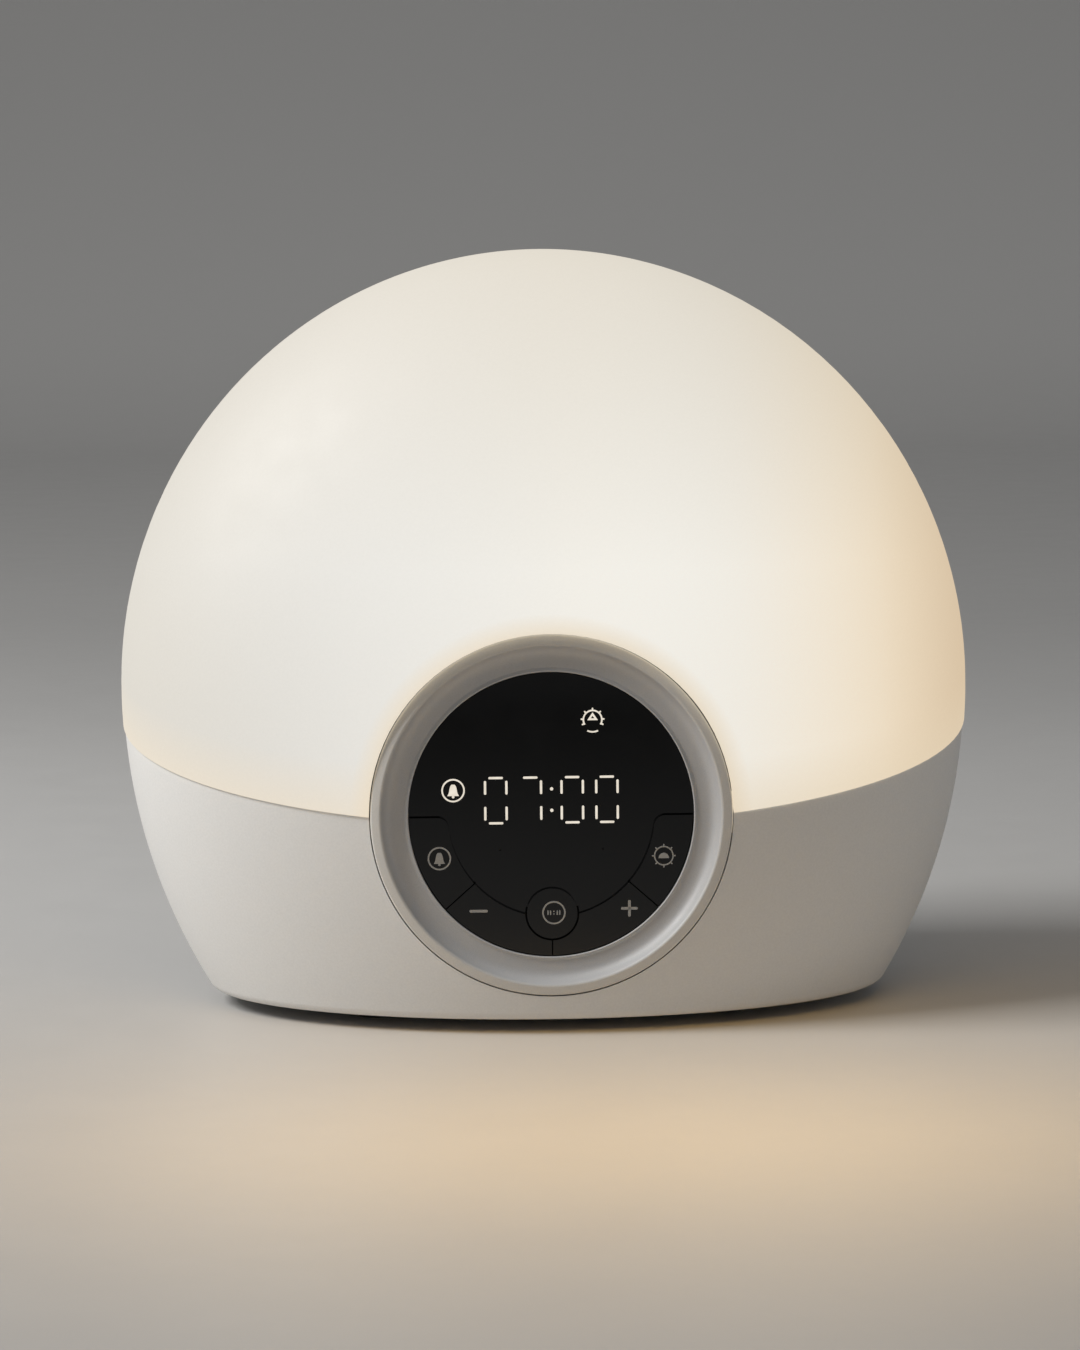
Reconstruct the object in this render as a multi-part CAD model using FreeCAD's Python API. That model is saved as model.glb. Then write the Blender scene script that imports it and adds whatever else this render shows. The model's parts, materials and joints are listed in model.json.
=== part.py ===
import FreeCAD, Part
import math
import os
from FreeCAD import Matrix, Placement, Rotation, Vector

# Sunrise alarm clock. All sizes are in millimetres.
# X runs to the right, Y to the back and Z up. The origin is on the table,
# under the middle of the lamp.

# The moulded form: overall sizes, lean and the two arcs of its outline
WIDTH = 210.0
DEPTH = 125.0
HEIGHT = 184.0
LEAN = 0.14
WAIST_Z = 78.0
SIDE_R = 139.0
CORNER_R = 4.0
FOOT_GAP = 3.0

# The seam between dome and base
SEAM_Z = 69.4
SEAM_TILT = 16.3
SEAM_STEP = 0.4
TONGUE_DROP = 6.0
RIM_HEIGHT = 3.0

# Walls and fits
DOME_WALL = 2.5
BASE_WALL = 2.6
TONGUE_WALL = 1.5
FIT = 0.15
GAP = 0.3
THIN = 0.5

# The round control panel, set low in the front
RING_LOW = 9.66
PANEL_TILT = 3.0
DISC_R = 34.0
RING_WIDTH = 9.0
RING_PROUD = 0.5
LIP_ROUND = 1.2
LIP_SWEEP = 35.0
SLEEVE_STEP = 0.8
SLEEVE_WALL = 1.4
SLEEVE_BACK = 8.0
INNER_RIM = 0.9
INNER_RIM_Z = -2.1
TROUGH_Z = -3.1
DISH_SAG = 0.92

# Depths inside the panel, measured back from the ring's seat
FACE_Z = -2.5
LENS_BACK_Z = -4.7
FLANGE_Z = -5.85
CARRIER_Z = -6.6
CARRIER_THICK = 1.5
BOARD_Z = -12.0
BOARD_THICK = 1.6
CUP_WALL = 1.5
CUP_FRONT_Z = -5.2
CUP_BACK_Z = -21.5
REAR_COVER_THICK = 1.5

# Keys: a curved band along the lower edge of the disc, and a round one on it
KEY_BAND_WIDTH = 9.05
KEY_GAP = 0.45
SPLIT_GAP = 0.3
KEY_TOP_Y = -0.5
KEY_SPLIT = 41.5
KEY_CORNER_R = 2.6
CLOCK_KEY_R = 6.0
CLOCK_KEY_IN = 10.3
KEY_TRAVEL = 0.5
FLANGE_LAP = 1.3
STEM_R = 1.6
STEM_LIFT = 0.8
SWITCH_SIZE = 6.0
SWITCH_HEIGHT = 3.6
PLUNGER_R = 1.7
PLUNGER_FIT = 0.05
PLUNGER_LOW = 1.9
KEY_ANGLES = {"alarm": -159.1, "minus": -128.0, "plus": -52.0, "light": -20.9}

# The shallow curved groove in the lens, under the digits
GROOVE_R = 16.2
GROOVE_Y = 2.3
GROOVE_LINE = 0.5
GROOVE_DEPTH = 0.2
GROOVE_ENDS = (-139.0, -41.0)

# The lens is held by a flange behind its upper half and by two posts
LENS_FLANGE_OUT = 2.0
LENS_FLANGE_IN = 4.0
LENS_POST_R = 1.6
LENS_POST_X = 12.0
LENS_POST_Y = -12.0

# Display
DISPLAY_W = 39.0
DISPLAY_H = 15.0
DISPLAY_Y = 3.5
DIGIT_X = (-13.1, -4.9, 5.2, 13.4)
DIGIT_W = 5.1
DIGIT_H = 10.8
SEGMENT = 0.9
WELL_DEPTH = 1.2
LIGHT_PIPE_R = 3.0
LIGHT_PLACES = ((-23.3, 6.0), (10.1, 22.5))

# Fixings
BOSS_R = 3.2
PILOT_R = 1.1
SHANK_R = 1.0
HEAD_R = 2.4
HEAD_H = 1.6
CLEAR_HOLE_R = 1.4
BOSS_ANGLES = (-20.0, -50.0, -130.0, -160.0)
BOSS_REACH = 3.75
TAB_R = 3.4
TAB_THICK = 2.0
BOARD_POSTS = ((-33.0, 14.0), (33.0, 14.0), (-9.5, -34.0), (9.5, -34.0))
POST_R = 2.4

# Bottom cover and feet
COVER_THICK = 2.0
LEDGE_THICK = 2.0
COVER_RIM = 5.0
LEDGE = 5.0
FOOT_R = 6.0
FOOT_RECESS = 0.8
FOOT_X = 42.0
FOOT_Y = 20.0
COVER_SCREW_ANGLES = (30.0, 150.0, 210.0, 330.0)

# Speaker, under its clamp, and the slots that let it out
SPEAKER_X = -37.0
SPEAKER_R = 18.0
SPEAKER_FLANGE = 1.2
SPEAKER_CONE_H = 6.0
MAGNET_R = 11.5
MAGNET_H = 5.0
CLAMP_LAP = 1.6
CLAMP_THICK = 1.4
CLAMP_WALL = 1.2
EAR_REACH = 5.5
SLOT_W = 2.0
SLOT_PITCH = 4.4
SLOT_COUNT = 5
SLOT_CIRCLE_R = 13.0

# Main board, on posts of the bottom cover
MAIN_W = 60.0
MAIN_D = 36.0
MAIN_X = 19.0
MAIN_LIFT = 5.0
MAIN_GAP = 4.0

# Light tray, heat spreader and LED board, in the seam's own plane
TRAY_TOP = -7.0
TRAY_THICK = 2.0
TRAY_GAP = 0.6
TRAY_RIM_WALL = 1.2
TRAY_RIM_TOP = 5.0
TRAY_POSTS = ((-60.0, 6.0), (60.0, 6.0), (-34.0, 34.0), (34.0, 34.0))
SPREADER = (72.0, 44.0, 1.5)
LED_BOARD = (64.0, 36.0, 1.6)
LED_Y = 9.0
LED_COLUMNS = 4
LED_ROWS = 3
LED_PITCH = (14.0, 10.0)
LED_SIZE = 3.5
LED_H = 0.9
LED_SCREW_IN = 3.5
LED_BOSS_H = 3.0
LED_SHANK = 7.2
LED_CABLE_HOLE = (SPREADER[0] / 2 + 5.0, LED_Y)

# Power inlet, low in the middle of the back
INLET_Z = 17.0
INLET_RECESS_R = 8.0
INLET_RECESS = 6.5
INLET_WALL = 2.2
INLET_BORE_R = 2.85
INLET_PIN_R = 1.05
INLET_BORE = 9.0
INLET_FLANGE_R = 5.8
INLET_FLANGE = 1.2
INLET_BODY_R = 4.0
INLET_BODY = 13.0
NUT_R = 5.6
NUT_H = 2.0

# Cables that stay inside
CABLE_R = 1.1
SOCKET = (7.0, 5.0, 5.5)
PLUG_H = 3.0

# What follows from the sizes above
RING_R = DISC_R + RING_WIDTH
PANEL_Z = RING_LOW + RING_R * math.cos(math.radians(PANEL_TILT))
KEY_BAND_R = DISC_R - GAP - KEY_BAND_WIDTH
CLOCK_KEY_Y = CLOCK_KEY_IN - DISC_R
CLAMP_EAR = SPEAKER_R + EAR_REACH

FAR = 400.0
parts = {}


# Simple solids


def cylinder(radius, low, high, x=0.0, y=0.0):
    return Part.makeCylinder(radius, high - low, Vector(x, y, low))


def annulus(outer, inner, low, high, x=0.0, y=0.0):
    return cylinder(outer, low, high, x, y).cut(cylinder(inner, low - 1, high + 1, x, y))


def block(x, y, z):
    """A box between the two values given for each axis."""
    return Part.makeBox(x[1] - x[0], y[1] - y[0], z[1] - z[0], Vector(x[0], y[0], z[0]))


def slab_box(size, x, y, low):
    """A box of width, depth and height, centred on x and y, standing on low."""
    width, depth, height = size
    return block((x - width / 2, x + width / 2), (y - depth / 2, y + depth / 2), (low, low + height))


def ellipse_plate(half_x, half_y, y, low, high):
    disc = Part.makeCylinder(half_x, high - low)
    squeeze = Matrix(1, 0, 0, 0, 0, half_y / half_x, 0, y, 0, 0, 1, low, 0, 0, 0, 1)
    return disc.transformGeometry(squeeze)


def prism(points, low, high):
    wire = Part.makePolygon([Vector(x, y, low) for x, y in points + points[:1]])
    return Part.Face(wire).extrude(Vector(0, 0, high - low))


def spin(points):
    """A ring or turned piece from radius and height pairs."""
    wire = Part.makePolygon([Vector(r, 0, z) for r, z in points + points[:1]])
    return Part.Face(wire).revolve(Vector(0, 0, 0), Vector(0, 0, 1), 360)


def joined(shapes):
    whole = shapes[0]
    for shape in shapes[1:]:
        whole = whole.fuse(shape)
    return whole.removeSplitter()


def without(shape, tools):
    for tool in tools:
        shape = shape.cut(tool)
    return shape


def placed(shape, frame):
    moved = shape.copy()
    moved.Placement = frame.multiply(moved.Placement)
    return moved


def arc_between(centre, radius, start, end):
    """An arc in the XZ plane, between two angles in degrees."""

    def point(angle):
        turn = math.radians(angle)
        return centre + Vector(radius * math.cos(turn), 0, radius * math.sin(turn))

    return Part.Arc(point(start), point((start + end) / 2), point(end)).toShape()


def line(start, end):
    return Part.LineSegment(start, end).toShape()


# The moulded form. Its outline is a quarter ellipse above the waist and an
# arc below it, spun round Z, squeezed front to back and leant backwards.


def squeeze_for_depth():
    """The share of the width that the front-to-back size keeps, for DEPTH."""
    low = 0.1
    high = 2.0
    for _ in range(60):
        share = (low + high) / 2
        front = share * (WIDTH / 2 - SIDE_R) + SIDE_R * math.hypot(share, LEAN)
        back = math.hypot(share * WIDTH / 2, LEAN * (HEIGHT - WAIST_Z))
        if front + back > DEPTH:
            high = share
        else:
            low = share
    return (low + high) / 2


SQUEEZE = squeeze_for_depth()


def half_width(z):
    """Half of the form's width at a height."""
    if z > WAIST_Z:
        rise = (z - WAIST_Z) / (HEIGHT - WAIST_Z)
        return WIDTH / 2 * math.sqrt(1 - rise * rise)
    return WIDTH / 2 - SIDE_R + math.sqrt(SIDE_R ** 2 - (WAIST_Z - z) ** 2)


def ring_reach():
    """How far in front of the panel's seat the ring's lip comes, at its bottom."""
    tilt = math.radians(PANEL_TILT)
    crest_r = RING_R - LIP_ROUND
    crest_z = RING_PROUD - LIP_ROUND
    return crest_r * math.sin(tilt) + crest_z * math.cos(tilt) + LIP_ROUND


def wall_y(x, z, side):
    """The form's front (side -1) or back (side 1) before it is centred."""
    return LEAN * z + side * SQUEEZE * math.sqrt(half_width(z) ** 2 - x * x)


SEAT_Y = wall_y(RING_R, PANEL_Z, -1)
BACK_Y = LEAN * WAIST_Z + math.hypot(SQUEEZE * WIDTH / 2, LEAN * (HEIGHT - WAIST_Z))
SHIFT_Y = -(SEAT_Y - ring_reach() + BACK_Y) / 2

PANEL = Placement(Vector(0, SEAT_Y + SHIFT_Y, PANEL_Z), Rotation(Vector(1, 0, 0), 90 - PANEL_TILT))
SEAM = Placement(Vector(0, LEAN * WAIST_Z + SHIFT_Y, SEAM_Z), Rotation(Vector(1, 0, 0), SEAM_TILT))


def corner(inset):
    """Centre of the small arc that rounds the outline into its flat bottom."""
    radius = max(CORNER_R - inset, THIN)
    reach = SIDE_R - inset - radius
    drop = WAIST_Z - FOOT_GAP - inset - radius
    x = WIDTH / 2 - SIDE_R + math.sqrt(reach * reach - drop * drop)
    return x, FOOT_GAP + inset + radius, radius


def body(inset):
    """The solid form with its whole surface moved inwards by inset."""
    half = WIDTH / 2 - inset
    rise = HEIGHT - WAIST_Z - inset
    arc_centre = Vector(WIDTH / 2 - SIDE_R, 0, WAIST_Z)
    corner_x, corner_z, radius = corner(inset)
    corner_centre = Vector(corner_x, 0, corner_z)
    lean = math.degrees(math.atan2(corner_z - WAIST_Z, corner_x - arc_centre.x))

    crown = Part.BezierCurve()
    crown.setPoles([Vector(half, 0, WAIST_Z), Vector(half, 0, WAIST_Z + rise), Vector(0, 0, WAIST_Z + rise)])
    crown.setWeight(2, math.sqrt(0.5))
    foot = Vector(corner_x, 0, corner_z - radius)
    outline = [
        line(Vector(0, 0, foot.z), foot),
        arc_between(corner_centre, radius, -90, lean),
        arc_between(arc_centre, SIDE_R - inset, lean, 0),
        crown.toShape(),
        line(Vector(0, 0, WAIST_Z + rise), Vector(0, 0, foot.z)),
    ]
    face = Part.Face(Part.Wire(Part.__sortEdges__(outline)))
    turned = face.revolve(Vector(0, 0, 0), Vector(0, 0, 1), 360)
    squeeze = (SQUEEZE * WIDTH / 2 - inset) / half
    return turned.transformGeometry(Matrix(1, 0, 0, 0, 0, squeeze, LEAN, SHIFT_Y, 0, 0, 1, 0, 0, 0, 0, 1))


def shell_between(outer, inner, low, high):
    """The part of the wall between two insets and two planes along the seam."""
    return body(outer).cut(body(inner)).common(seam_slab(low, high))


def seam_slab(low, high):
    return placed(block((-FAR, FAR), (-FAR, FAR), (low, high)), SEAM)


def floor_half(inset=SEAM_STEP):
    """Half width and half depth of the form's flat bottom."""
    flat_x = corner(inset)[0]
    return flat_x, flat_x * (SQUEEZE * WIDTH / 2 - inset) / (WIDTH / 2 - inset)


FLOOR_Y = LEAN * FOOT_GAP + SHIFT_Y
COVER_TOP = FOOT_GAP + COVER_THICK
FLOOR_TOP = COVER_TOP + LEDGE_THICK
COVER_X, COVER_Y = (half - COVER_RIM for half in floor_half())
BASE_INNER = SEAM_STEP + BASE_WALL
TONGUE_OUT = BASE_INNER + FIT
TONGUE_IN = TONGUE_OUT + TONGUE_WALL
CUP_IN = RING_R - SLEEVE_STEP + FIT
CUP_OUT = CUP_IN + CUP_WALL
BOSS_CIRCLE_R = CUP_OUT + BOSS_REACH
INLET_FACE_Y = wall_y(0, INLET_Z, 1) + SHIFT_Y - INLET_RECESS
MAIN_FRONT = PANEL.Base.y - CUP_BACK_Z + MAIN_GAP
MAIN_Y = MAIN_FRONT + MAIN_D / 2
MAIN_Z = COVER_TOP + MAIN_LIFT


def along_panel(shape):
    return placed(shape, PANEL)


def along_seam(shape):
    return placed(shape, SEAM)


def along_y(shape):
    """Turns a piece made along Z so that it points to the back."""
    return placed(shape, Placement(Vector(0, 0, INLET_Z), Rotation(Vector(1, 0, 0), -90)))


def screw(x, y, seat, length, up=True):
    """A pan head on the seat, with its shank in the other direction."""
    way = 1 if up else -1
    head = cylinder(HEAD_R, min(seat, seat + way * HEAD_H), max(seat, seat + way * HEAD_H), x, y)
    shank = cylinder(SHANK_R, min(seat, seat - way * length), max(seat, seat - way * length), x, y)
    return head.fuse(shank)


# Housing


def make_dome():
    outer = body(0).common(seam_slab(0, FAR))
    tongue = body(TONGUE_OUT).common(seam_slab(-TONGUE_DROP, RIM_HEIGHT / 2))
    hollow = body(DOME_WALL).common(seam_slab(RIM_HEIGHT, FAR))
    rim_hole = body(TONGUE_IN).common(seam_slab(-TONGUE_DROP - 1, RIM_HEIGHT + THIN))
    panel_hole = along_panel(cylinder(RING_R + GAP, CUP_FRONT_Z, FAR / 4))
    cup_room = along_panel(cylinder(CUP_OUT + 2 * GAP, -FAR / 4, CUP_FRONT_Z + GAP))
    cup_room = cup_room.common(block((-FAR, FAR), (-FAR, 0), (0, FAR)))
    return without(outer.fuse(tongue), [hollow.fuse(rim_hole), panel_hole, cup_room])


def cover_screw_places(radius_off):
    half_x = COVER_X - radius_off
    half_y = COVER_Y - radius_off
    turns = [math.radians(angle) for angle in COVER_SCREW_ANGLES]
    return [(half_x * math.cos(turn), FLOOR_Y + half_y * math.sin(turn)) for turn in turns]


def panel_boss_places():
    turns = [math.radians(angle) for angle in BOSS_ANGLES]
    return [(BOSS_CIRCLE_R * math.cos(turn), BOSS_CIRCLE_R * math.sin(turn)) for turn in turns]


def make_base():
    outer = body(SEAM_STEP).common(seam_slab(-FAR, 0))
    hollow = body(BASE_INNER).common(block((-FAR, FAR), (-FAR, FAR), (FLOOR_TOP, FAR)))
    shell = outer.cut(hollow)

    inside = body(BASE_INNER - 1.2)
    tab_face = BOARD_Z
    bosses = [along_panel(cylinder(BOSS_R, tab_face, FAR / 8, x, y)) for x, y in panel_boss_places()]
    under_tray = TRAY_TOP - TRAY_THICK
    posts = [along_seam(cylinder(BOSS_R, under_tray - FAR / 4, under_tray, x, y)) for x, y in TRAY_POSTS]
    screw_posts = [cylinder(BOSS_R, COVER_TOP, FLOOR_TOP + 6, x, y) for x, y in cover_screw_places(LEDGE / 2)]
    inlet_boss = along_y(cylinder(INLET_RECESS_R + INLET_WALL, INLET_FACE_Y - INLET_WALL, FAR / 4))
    added = [piece.common(inside) for piece in bosses + posts + screw_posts + [inlet_boss]]
    shell = joined([shell] + added)

    pilots = [along_panel(cylinder(PILOT_R, tab_face - 1, tab_face + 6.5, x, y)) for x, y in panel_boss_places()]
    pilots += [along_seam(cylinder(PILOT_R, under_tray - 10, under_tray + 1, x, y)) for x, y in TRAY_POSTS]
    pilots += [cylinder(PILOT_R, COVER_TOP - 1, FLOOR_TOP + 5, x, y) for x, y in cover_screw_places(LEDGE / 2)]
    cuts = [
        along_panel(cylinder(RING_R + GAP, CUP_FRONT_Z, FAR / 4)),
        ellipse_plate(COVER_X + FIT, COVER_Y + FIT, FLOOR_Y, FOOT_GAP - 1, COVER_TOP),
        ellipse_plate(COVER_X - LEDGE, COVER_Y - LEDGE, FLOOR_Y, COVER_TOP - THIN, FLOOR_TOP + 7),
        along_y(cylinder(INLET_RECESS_R, INLET_FACE_Y, FAR / 4)),
        along_y(cylinder(INLET_BODY_R + FIT, INLET_FACE_Y - INLET_WALL - 1, INLET_FACE_Y + 1)),
    ]
    return without(shell, cuts + pilots)


def foot_places():
    return [(x, FLOOR_Y + y) for x in (-FOOT_X, FOOT_X) for y in (-FOOT_Y, FOOT_Y)]


def clamp_screw_places():
    return [(SPEAKER_X, FLOOR_Y - CLAMP_EAR), (SPEAKER_X, FLOOR_Y + CLAMP_EAR)]


def main_post_places():
    reach_x = MAIN_W / 2 - 3.5
    reach_y = MAIN_D / 2 - 3.5
    return [(MAIN_X + x, MAIN_Y + y) for x in (-reach_x, reach_x) for y in (-reach_y, reach_y)]


def make_bottom_cover():
    plate = ellipse_plate(COVER_X, COVER_Y, FLOOR_Y, FOOT_GAP, COVER_TOP)
    main_posts = [cylinder(POST_R, COVER_TOP - THIN, MAIN_Z, x, y) for x, y in main_post_places()]
    clamp_z = COVER_TOP + SPEAKER_FLANGE
    ears = [cylinder(POST_R, COVER_TOP - THIN, clamp_z, x, y) for x, y in clamp_screw_places()]
    wall = annulus(SPEAKER_R + FIT + CLAMP_WALL, SPEAKER_R + FIT, COVER_TOP - THIN, clamp_z, SPEAKER_X, FLOOR_Y)
    plate = joined([plate] + main_posts + ears + [wall])

    cuts = [cylinder(FOOT_R + FIT, 0, FOOT_GAP + FOOT_RECESS, x, y) for x, y in foot_places()]
    for x, y in cover_screw_places(LEDGE / 2):
        cuts.append(cylinder(CLEAR_HOLE_R, 0, COVER_TOP + 1, x, y))
        cuts.append(cylinder(HEAD_R + FIT, 0, FOOT_GAP + COVER_THICK / 2, x, y))
    cuts += [cylinder(PILOT_R, COVER_TOP - 1, MAIN_Z + 1, x, y) for x, y in main_post_places()]
    cuts += [cylinder(PILOT_R, COVER_TOP - 1, clamp_z + 1, x, y) for x, y in clamp_screw_places()]
    for count in range(SLOT_COUNT):
        offset = (count - (SLOT_COUNT - 1) / 2) * SLOT_PITCH
        reach = math.sqrt(SLOT_CIRCLE_R ** 2 - offset ** 2)
        low = FLOOR_Y - reach + SLOT_W / 2
        high = FLOOR_Y + reach - SLOT_W / 2
        slot_x = SPEAKER_X + offset
        slot = block((slot_x - SLOT_W / 2, slot_x + SLOT_W / 2), (low, high), (0, COVER_TOP + 1))
        ends = [cylinder(SLOT_W / 2, 0, COVER_TOP + 1, slot_x, y) for y in (low, high)]
        cuts.append(joined([slot] + ends))
    return without(plate, cuts)


def make_feet():
    feet = []
    for x, y in foot_places():
        foot = cylinder(FOOT_R, 0, FOOT_GAP + FOOT_RECESS, x, y)
        sole = [edge for edge in foot.Edges if edge.BoundBox.ZMax < THIN]
        feet.append(foot.makeFillet(THIN, sole))
    return Part.makeCompound(feet)


def make_cover_screws():
    seat = FOOT_GAP + COVER_THICK / 2
    cap = COVER_THICK / 2 - 0.1
    screws = []
    for x, y in cover_screw_places(LEDGE / 2):
        head = cylinder(HEAD_R, seat - cap, seat, x, y)
        screws.append(head.fuse(cylinder(SHANK_R, seat, FLOOR_TOP + 4, x, y)))
    return Part.makeCompound(screws)


# Control panel, made flat with Z out of the front, and then set in the front


def ring_lip():
    return Vector(RING_R - LIP_ROUND, 0, RING_PROUD - LIP_ROUND)


def make_bezel_ring():
    """Dished ring: rounded lip, hollow slope, raised inner rim and sleeve."""
    lip = ring_lip()
    sweep = math.radians(90 + LIP_SWEEP)
    slope_top = lip + Vector(LIP_ROUND * math.cos(sweep), 0, LIP_ROUND * math.sin(sweep))
    rim_out = DISC_R + INNER_RIM
    sleeve_out = RING_R - SLEEVE_STEP
    sleeve_in = sleeve_out - SLEEVE_WALL
    trough = Vector(rim_out, 0, TROUGH_Z)
    chord = slope_top - trough
    dish = (slope_top + trough) / 2 + Vector(chord.z, 0, -chord.x).normalize() * DISH_SAG
    back = [
        Vector(rim_out, 0, INNER_RIM_Z),
        Vector(DISC_R, 0, INNER_RIM_Z),
        Vector(DISC_R, 0, LENS_BACK_Z),
        Vector(sleeve_in - 2.0, 0, LENS_BACK_Z),
        Vector(sleeve_in, 0, LENS_BACK_Z + 1.6),
        Vector(sleeve_in, 0, -SLEEVE_BACK),
        Vector(sleeve_out, 0, -SLEEVE_BACK),
        Vector(sleeve_out, 0, LENS_BACK_Z / 2),
        Vector(RING_R, 0, LENS_BACK_Z / 2),
        Vector(RING_R, 0, lip.z),
    ]
    edges = [
        arc_between(lip, LIP_ROUND, 0, 90 + LIP_SWEEP),
        Part.Arc(slope_top, dish, trough).toShape(),
    ]
    points = [trough] + back
    edges += [line(start, end) for start, end in zip(points, points[1:])]
    face = Part.Face(Part.Wire(Part.__sortEdges__(edges)))
    ring = face.revolve(Vector(0, 0, 0), Vector(0, 0, 1), 360)
    rim_edges = [
        edge
        for edge in ring.Edges
        if abs(edge.BoundBox.ZMax - INNER_RIM_Z) < 0.01 and edge.BoundBox.ZLength < 0.01
    ]
    return ring.makeFillet(0.25, rim_edges)


def split_walls(width, low, high):
    """Thin walls along the gaps between the keys of the curved band."""
    walls = []
    for angle in (-90.0, -KEY_SPLIT, -180.0 + KEY_SPLIT):
        wall = block((0, RING_R), (-width / 2, width / 2), (low, high))
        walls.append(placed(wall, Placement(Vector(0, 0, 0), Rotation(Vector(0, 0, 1), angle))))
    return walls


def key_band(grow, low, high):
    """The curved band that the four outer keys fill, moved outwards on all sides by grow."""
    inner = KEY_BAND_R - grow
    top = KEY_TOP_Y + grow
    band = annulus(DISC_R - GAP + grow, inner, low, high)
    band = band.common(block((-RING_R, RING_R), (-RING_R, top), (low, high)))
    inner_x = math.sqrt(inner ** 2 - top ** 2)
    tips = [
        edge
        for edge in band.Edges
        if edge.BoundBox.ZLength > THIN
        and abs(edge.CenterOfMass.y - top) < THIN
        and abs(abs(edge.CenterOfMass.x) - inner_x) < THIN
    ]
    return band.makeFillet(KEY_CORNER_R + grow, tips)


def clock_disc(grow, low, high):
    return cylinder(CLOCK_KEY_R + grow, low, high, 0, CLOCK_KEY_Y)


def four_keys(band, gap, low, high):
    """A band cut into its four keys, by name."""
    pieces = without(band, split_walls(gap, low, high) + [clock_disc(KEY_GAP, low, high)]).Solids
    alarm, minus, plus, light = sorted(pieces, key=lambda solid: solid.CenterOfMass.x)
    return {"alarm": alarm, "minus": minus, "plus": plus, "light": light}


def key_caps(low, high):
    """The five keys as they show in the disc."""
    caps = four_keys(key_band(0.0, low, high), SPLIT_GAP, low, high)
    caps["clock"] = clock_disc(0.0, low, high)
    return caps


def key_flanges(low, high):
    """Wider feet of the keys, trapped behind the lens and the ring."""
    inner = KEY_BAND_R - FLANGE_LAP
    band = annulus(DISC_R + FLANGE_LAP, inner, low, high)
    band = band.common(block((-RING_R, RING_R), (-RING_R, KEY_TOP_Y), (low, high)))
    flanges = four_keys(band, 2 * GAP, low, high)
    wide = clock_disc(FLANGE_LAP, low, high).common(cylinder(inner - GAP, low, high))
    flanges["clock"] = joined([wide, clock_disc(0.0, low, high)])
    return flanges


def key_places():
    """The middle of each key, where its stem and its switch are."""
    middle = KEY_BAND_R + KEY_BAND_WIDTH / 2
    places = {"clock": (0.0, CLOCK_KEY_Y)}
    for name, angle in KEY_ANGLES.items():
        turn = math.radians(angle)
        places[name] = (middle * math.cos(turn), middle * math.sin(turn))
    return places


def make_keys():
    split_z = LENS_BACK_Z - FIT
    caps = key_caps(split_z, FACE_Z)
    flanges = key_flanges(FLANGE_Z, split_z)
    stem_end = BOARD_Z + SWITCH_HEIGHT + STEM_LIFT
    keys = {}
    for name, (x, y) in key_places().items():
        stem = cylinder(STEM_R, stem_end, FLANGE_Z + THIN, x, y)
        keys[name] = along_panel(joined([caps[name], flanges[name], stem]))
    return keys


def make_plungers():
    low = BOARD_Z + PLUNGER_LOW
    top = BOARD_Z + SWITCH_HEIGHT + STEM_LIFT
    return {
        name: along_panel(cylinder(PLUNGER_R, low, top, x, y)) for name, (x, y) in key_places().items()
    }


def make_switches():
    bodies = []
    top = BOARD_Z + SWITCH_HEIGHT
    well_low = BOARD_Z + PLUNGER_LOW - KEY_TRAVEL - GAP
    for x, y in key_places().values():
        case = slab_box((SWITCH_SIZE, SWITCH_SIZE, SWITCH_HEIGHT), x, y, BOARD_Z)
        well = cylinder(PLUNGER_R + PLUNGER_FIT, well_low, top + 1, x, y)
        bodies.append(along_panel(case.cut(well)))
    return Part.makeCompound(bodies)


def lens_posts(low, high):
    return [cylinder(LENS_POST_R, low, high, x, LENS_POST_Y) for x in (-LENS_POST_X, LENS_POST_X)]


def lens_groove():
    """A round-bottomed groove with round ends, along an arc of the lens's face."""
    radius = (GROOVE_LINE ** 2 / 4 + GROOVE_DEPTH ** 2) / (2 * GROOVE_DEPTH)
    centre = Vector(0, GROOVE_Y, FACE_Z - GROOVE_DEPTH + radius)
    first, last = GROOVE_ENDS
    ring = Part.makeTorus(GROOVE_R, radius, Vector(0, 0, 0), Vector(0, 0, 1), -180, 180, last - first)
    ends = [
        Part.makeSphere(radius, Vector(GROOVE_R, 0, 0)),
        Part.makeSphere(radius, Vector(
            GROOVE_R * math.cos(math.radians(last - first)), GROOVE_R * math.sin(math.radians(last - first)), 0)),
    ]
    turn = Placement(centre, Rotation(Vector(0, 0, 1), first))
    return [placed(piece, turn) for piece in [ring] + ends]


def make_lens():
    """The black window: the whole disc less the keys, with a flange behind its upper half."""
    low = LENS_BACK_Z - 1
    high = FACE_Z + 1
    disc = cylinder(DISC_R - FIT, LENS_BACK_Z, FACE_Z)
    plate = without(disc, [key_band(KEY_GAP, low, high), clock_disc(KEY_GAP, low, high)])
    flange = annulus(DISC_R + LENS_FLANGE_OUT, DISC_R - LENS_FLANGE_IN, CARRIER_Z, LENS_BACK_Z)
    flange = flange.common(block((-RING_R, RING_R), (THIN, RING_R), (CARRIER_Z, LENS_BACK_Z)))
    lamp_rooms = [cylinder(LIGHT_PIPE_R + GAP, CARRIER_Z - 1, LENS_BACK_Z, x, y) for x, y in LIGHT_PLACES]
    lens = joined([plate, without(flange, lamp_rooms)] + lens_posts(CARRIER_Z, LENS_BACK_Z))
    return along_panel(without(lens, lens_groove()))


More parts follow.
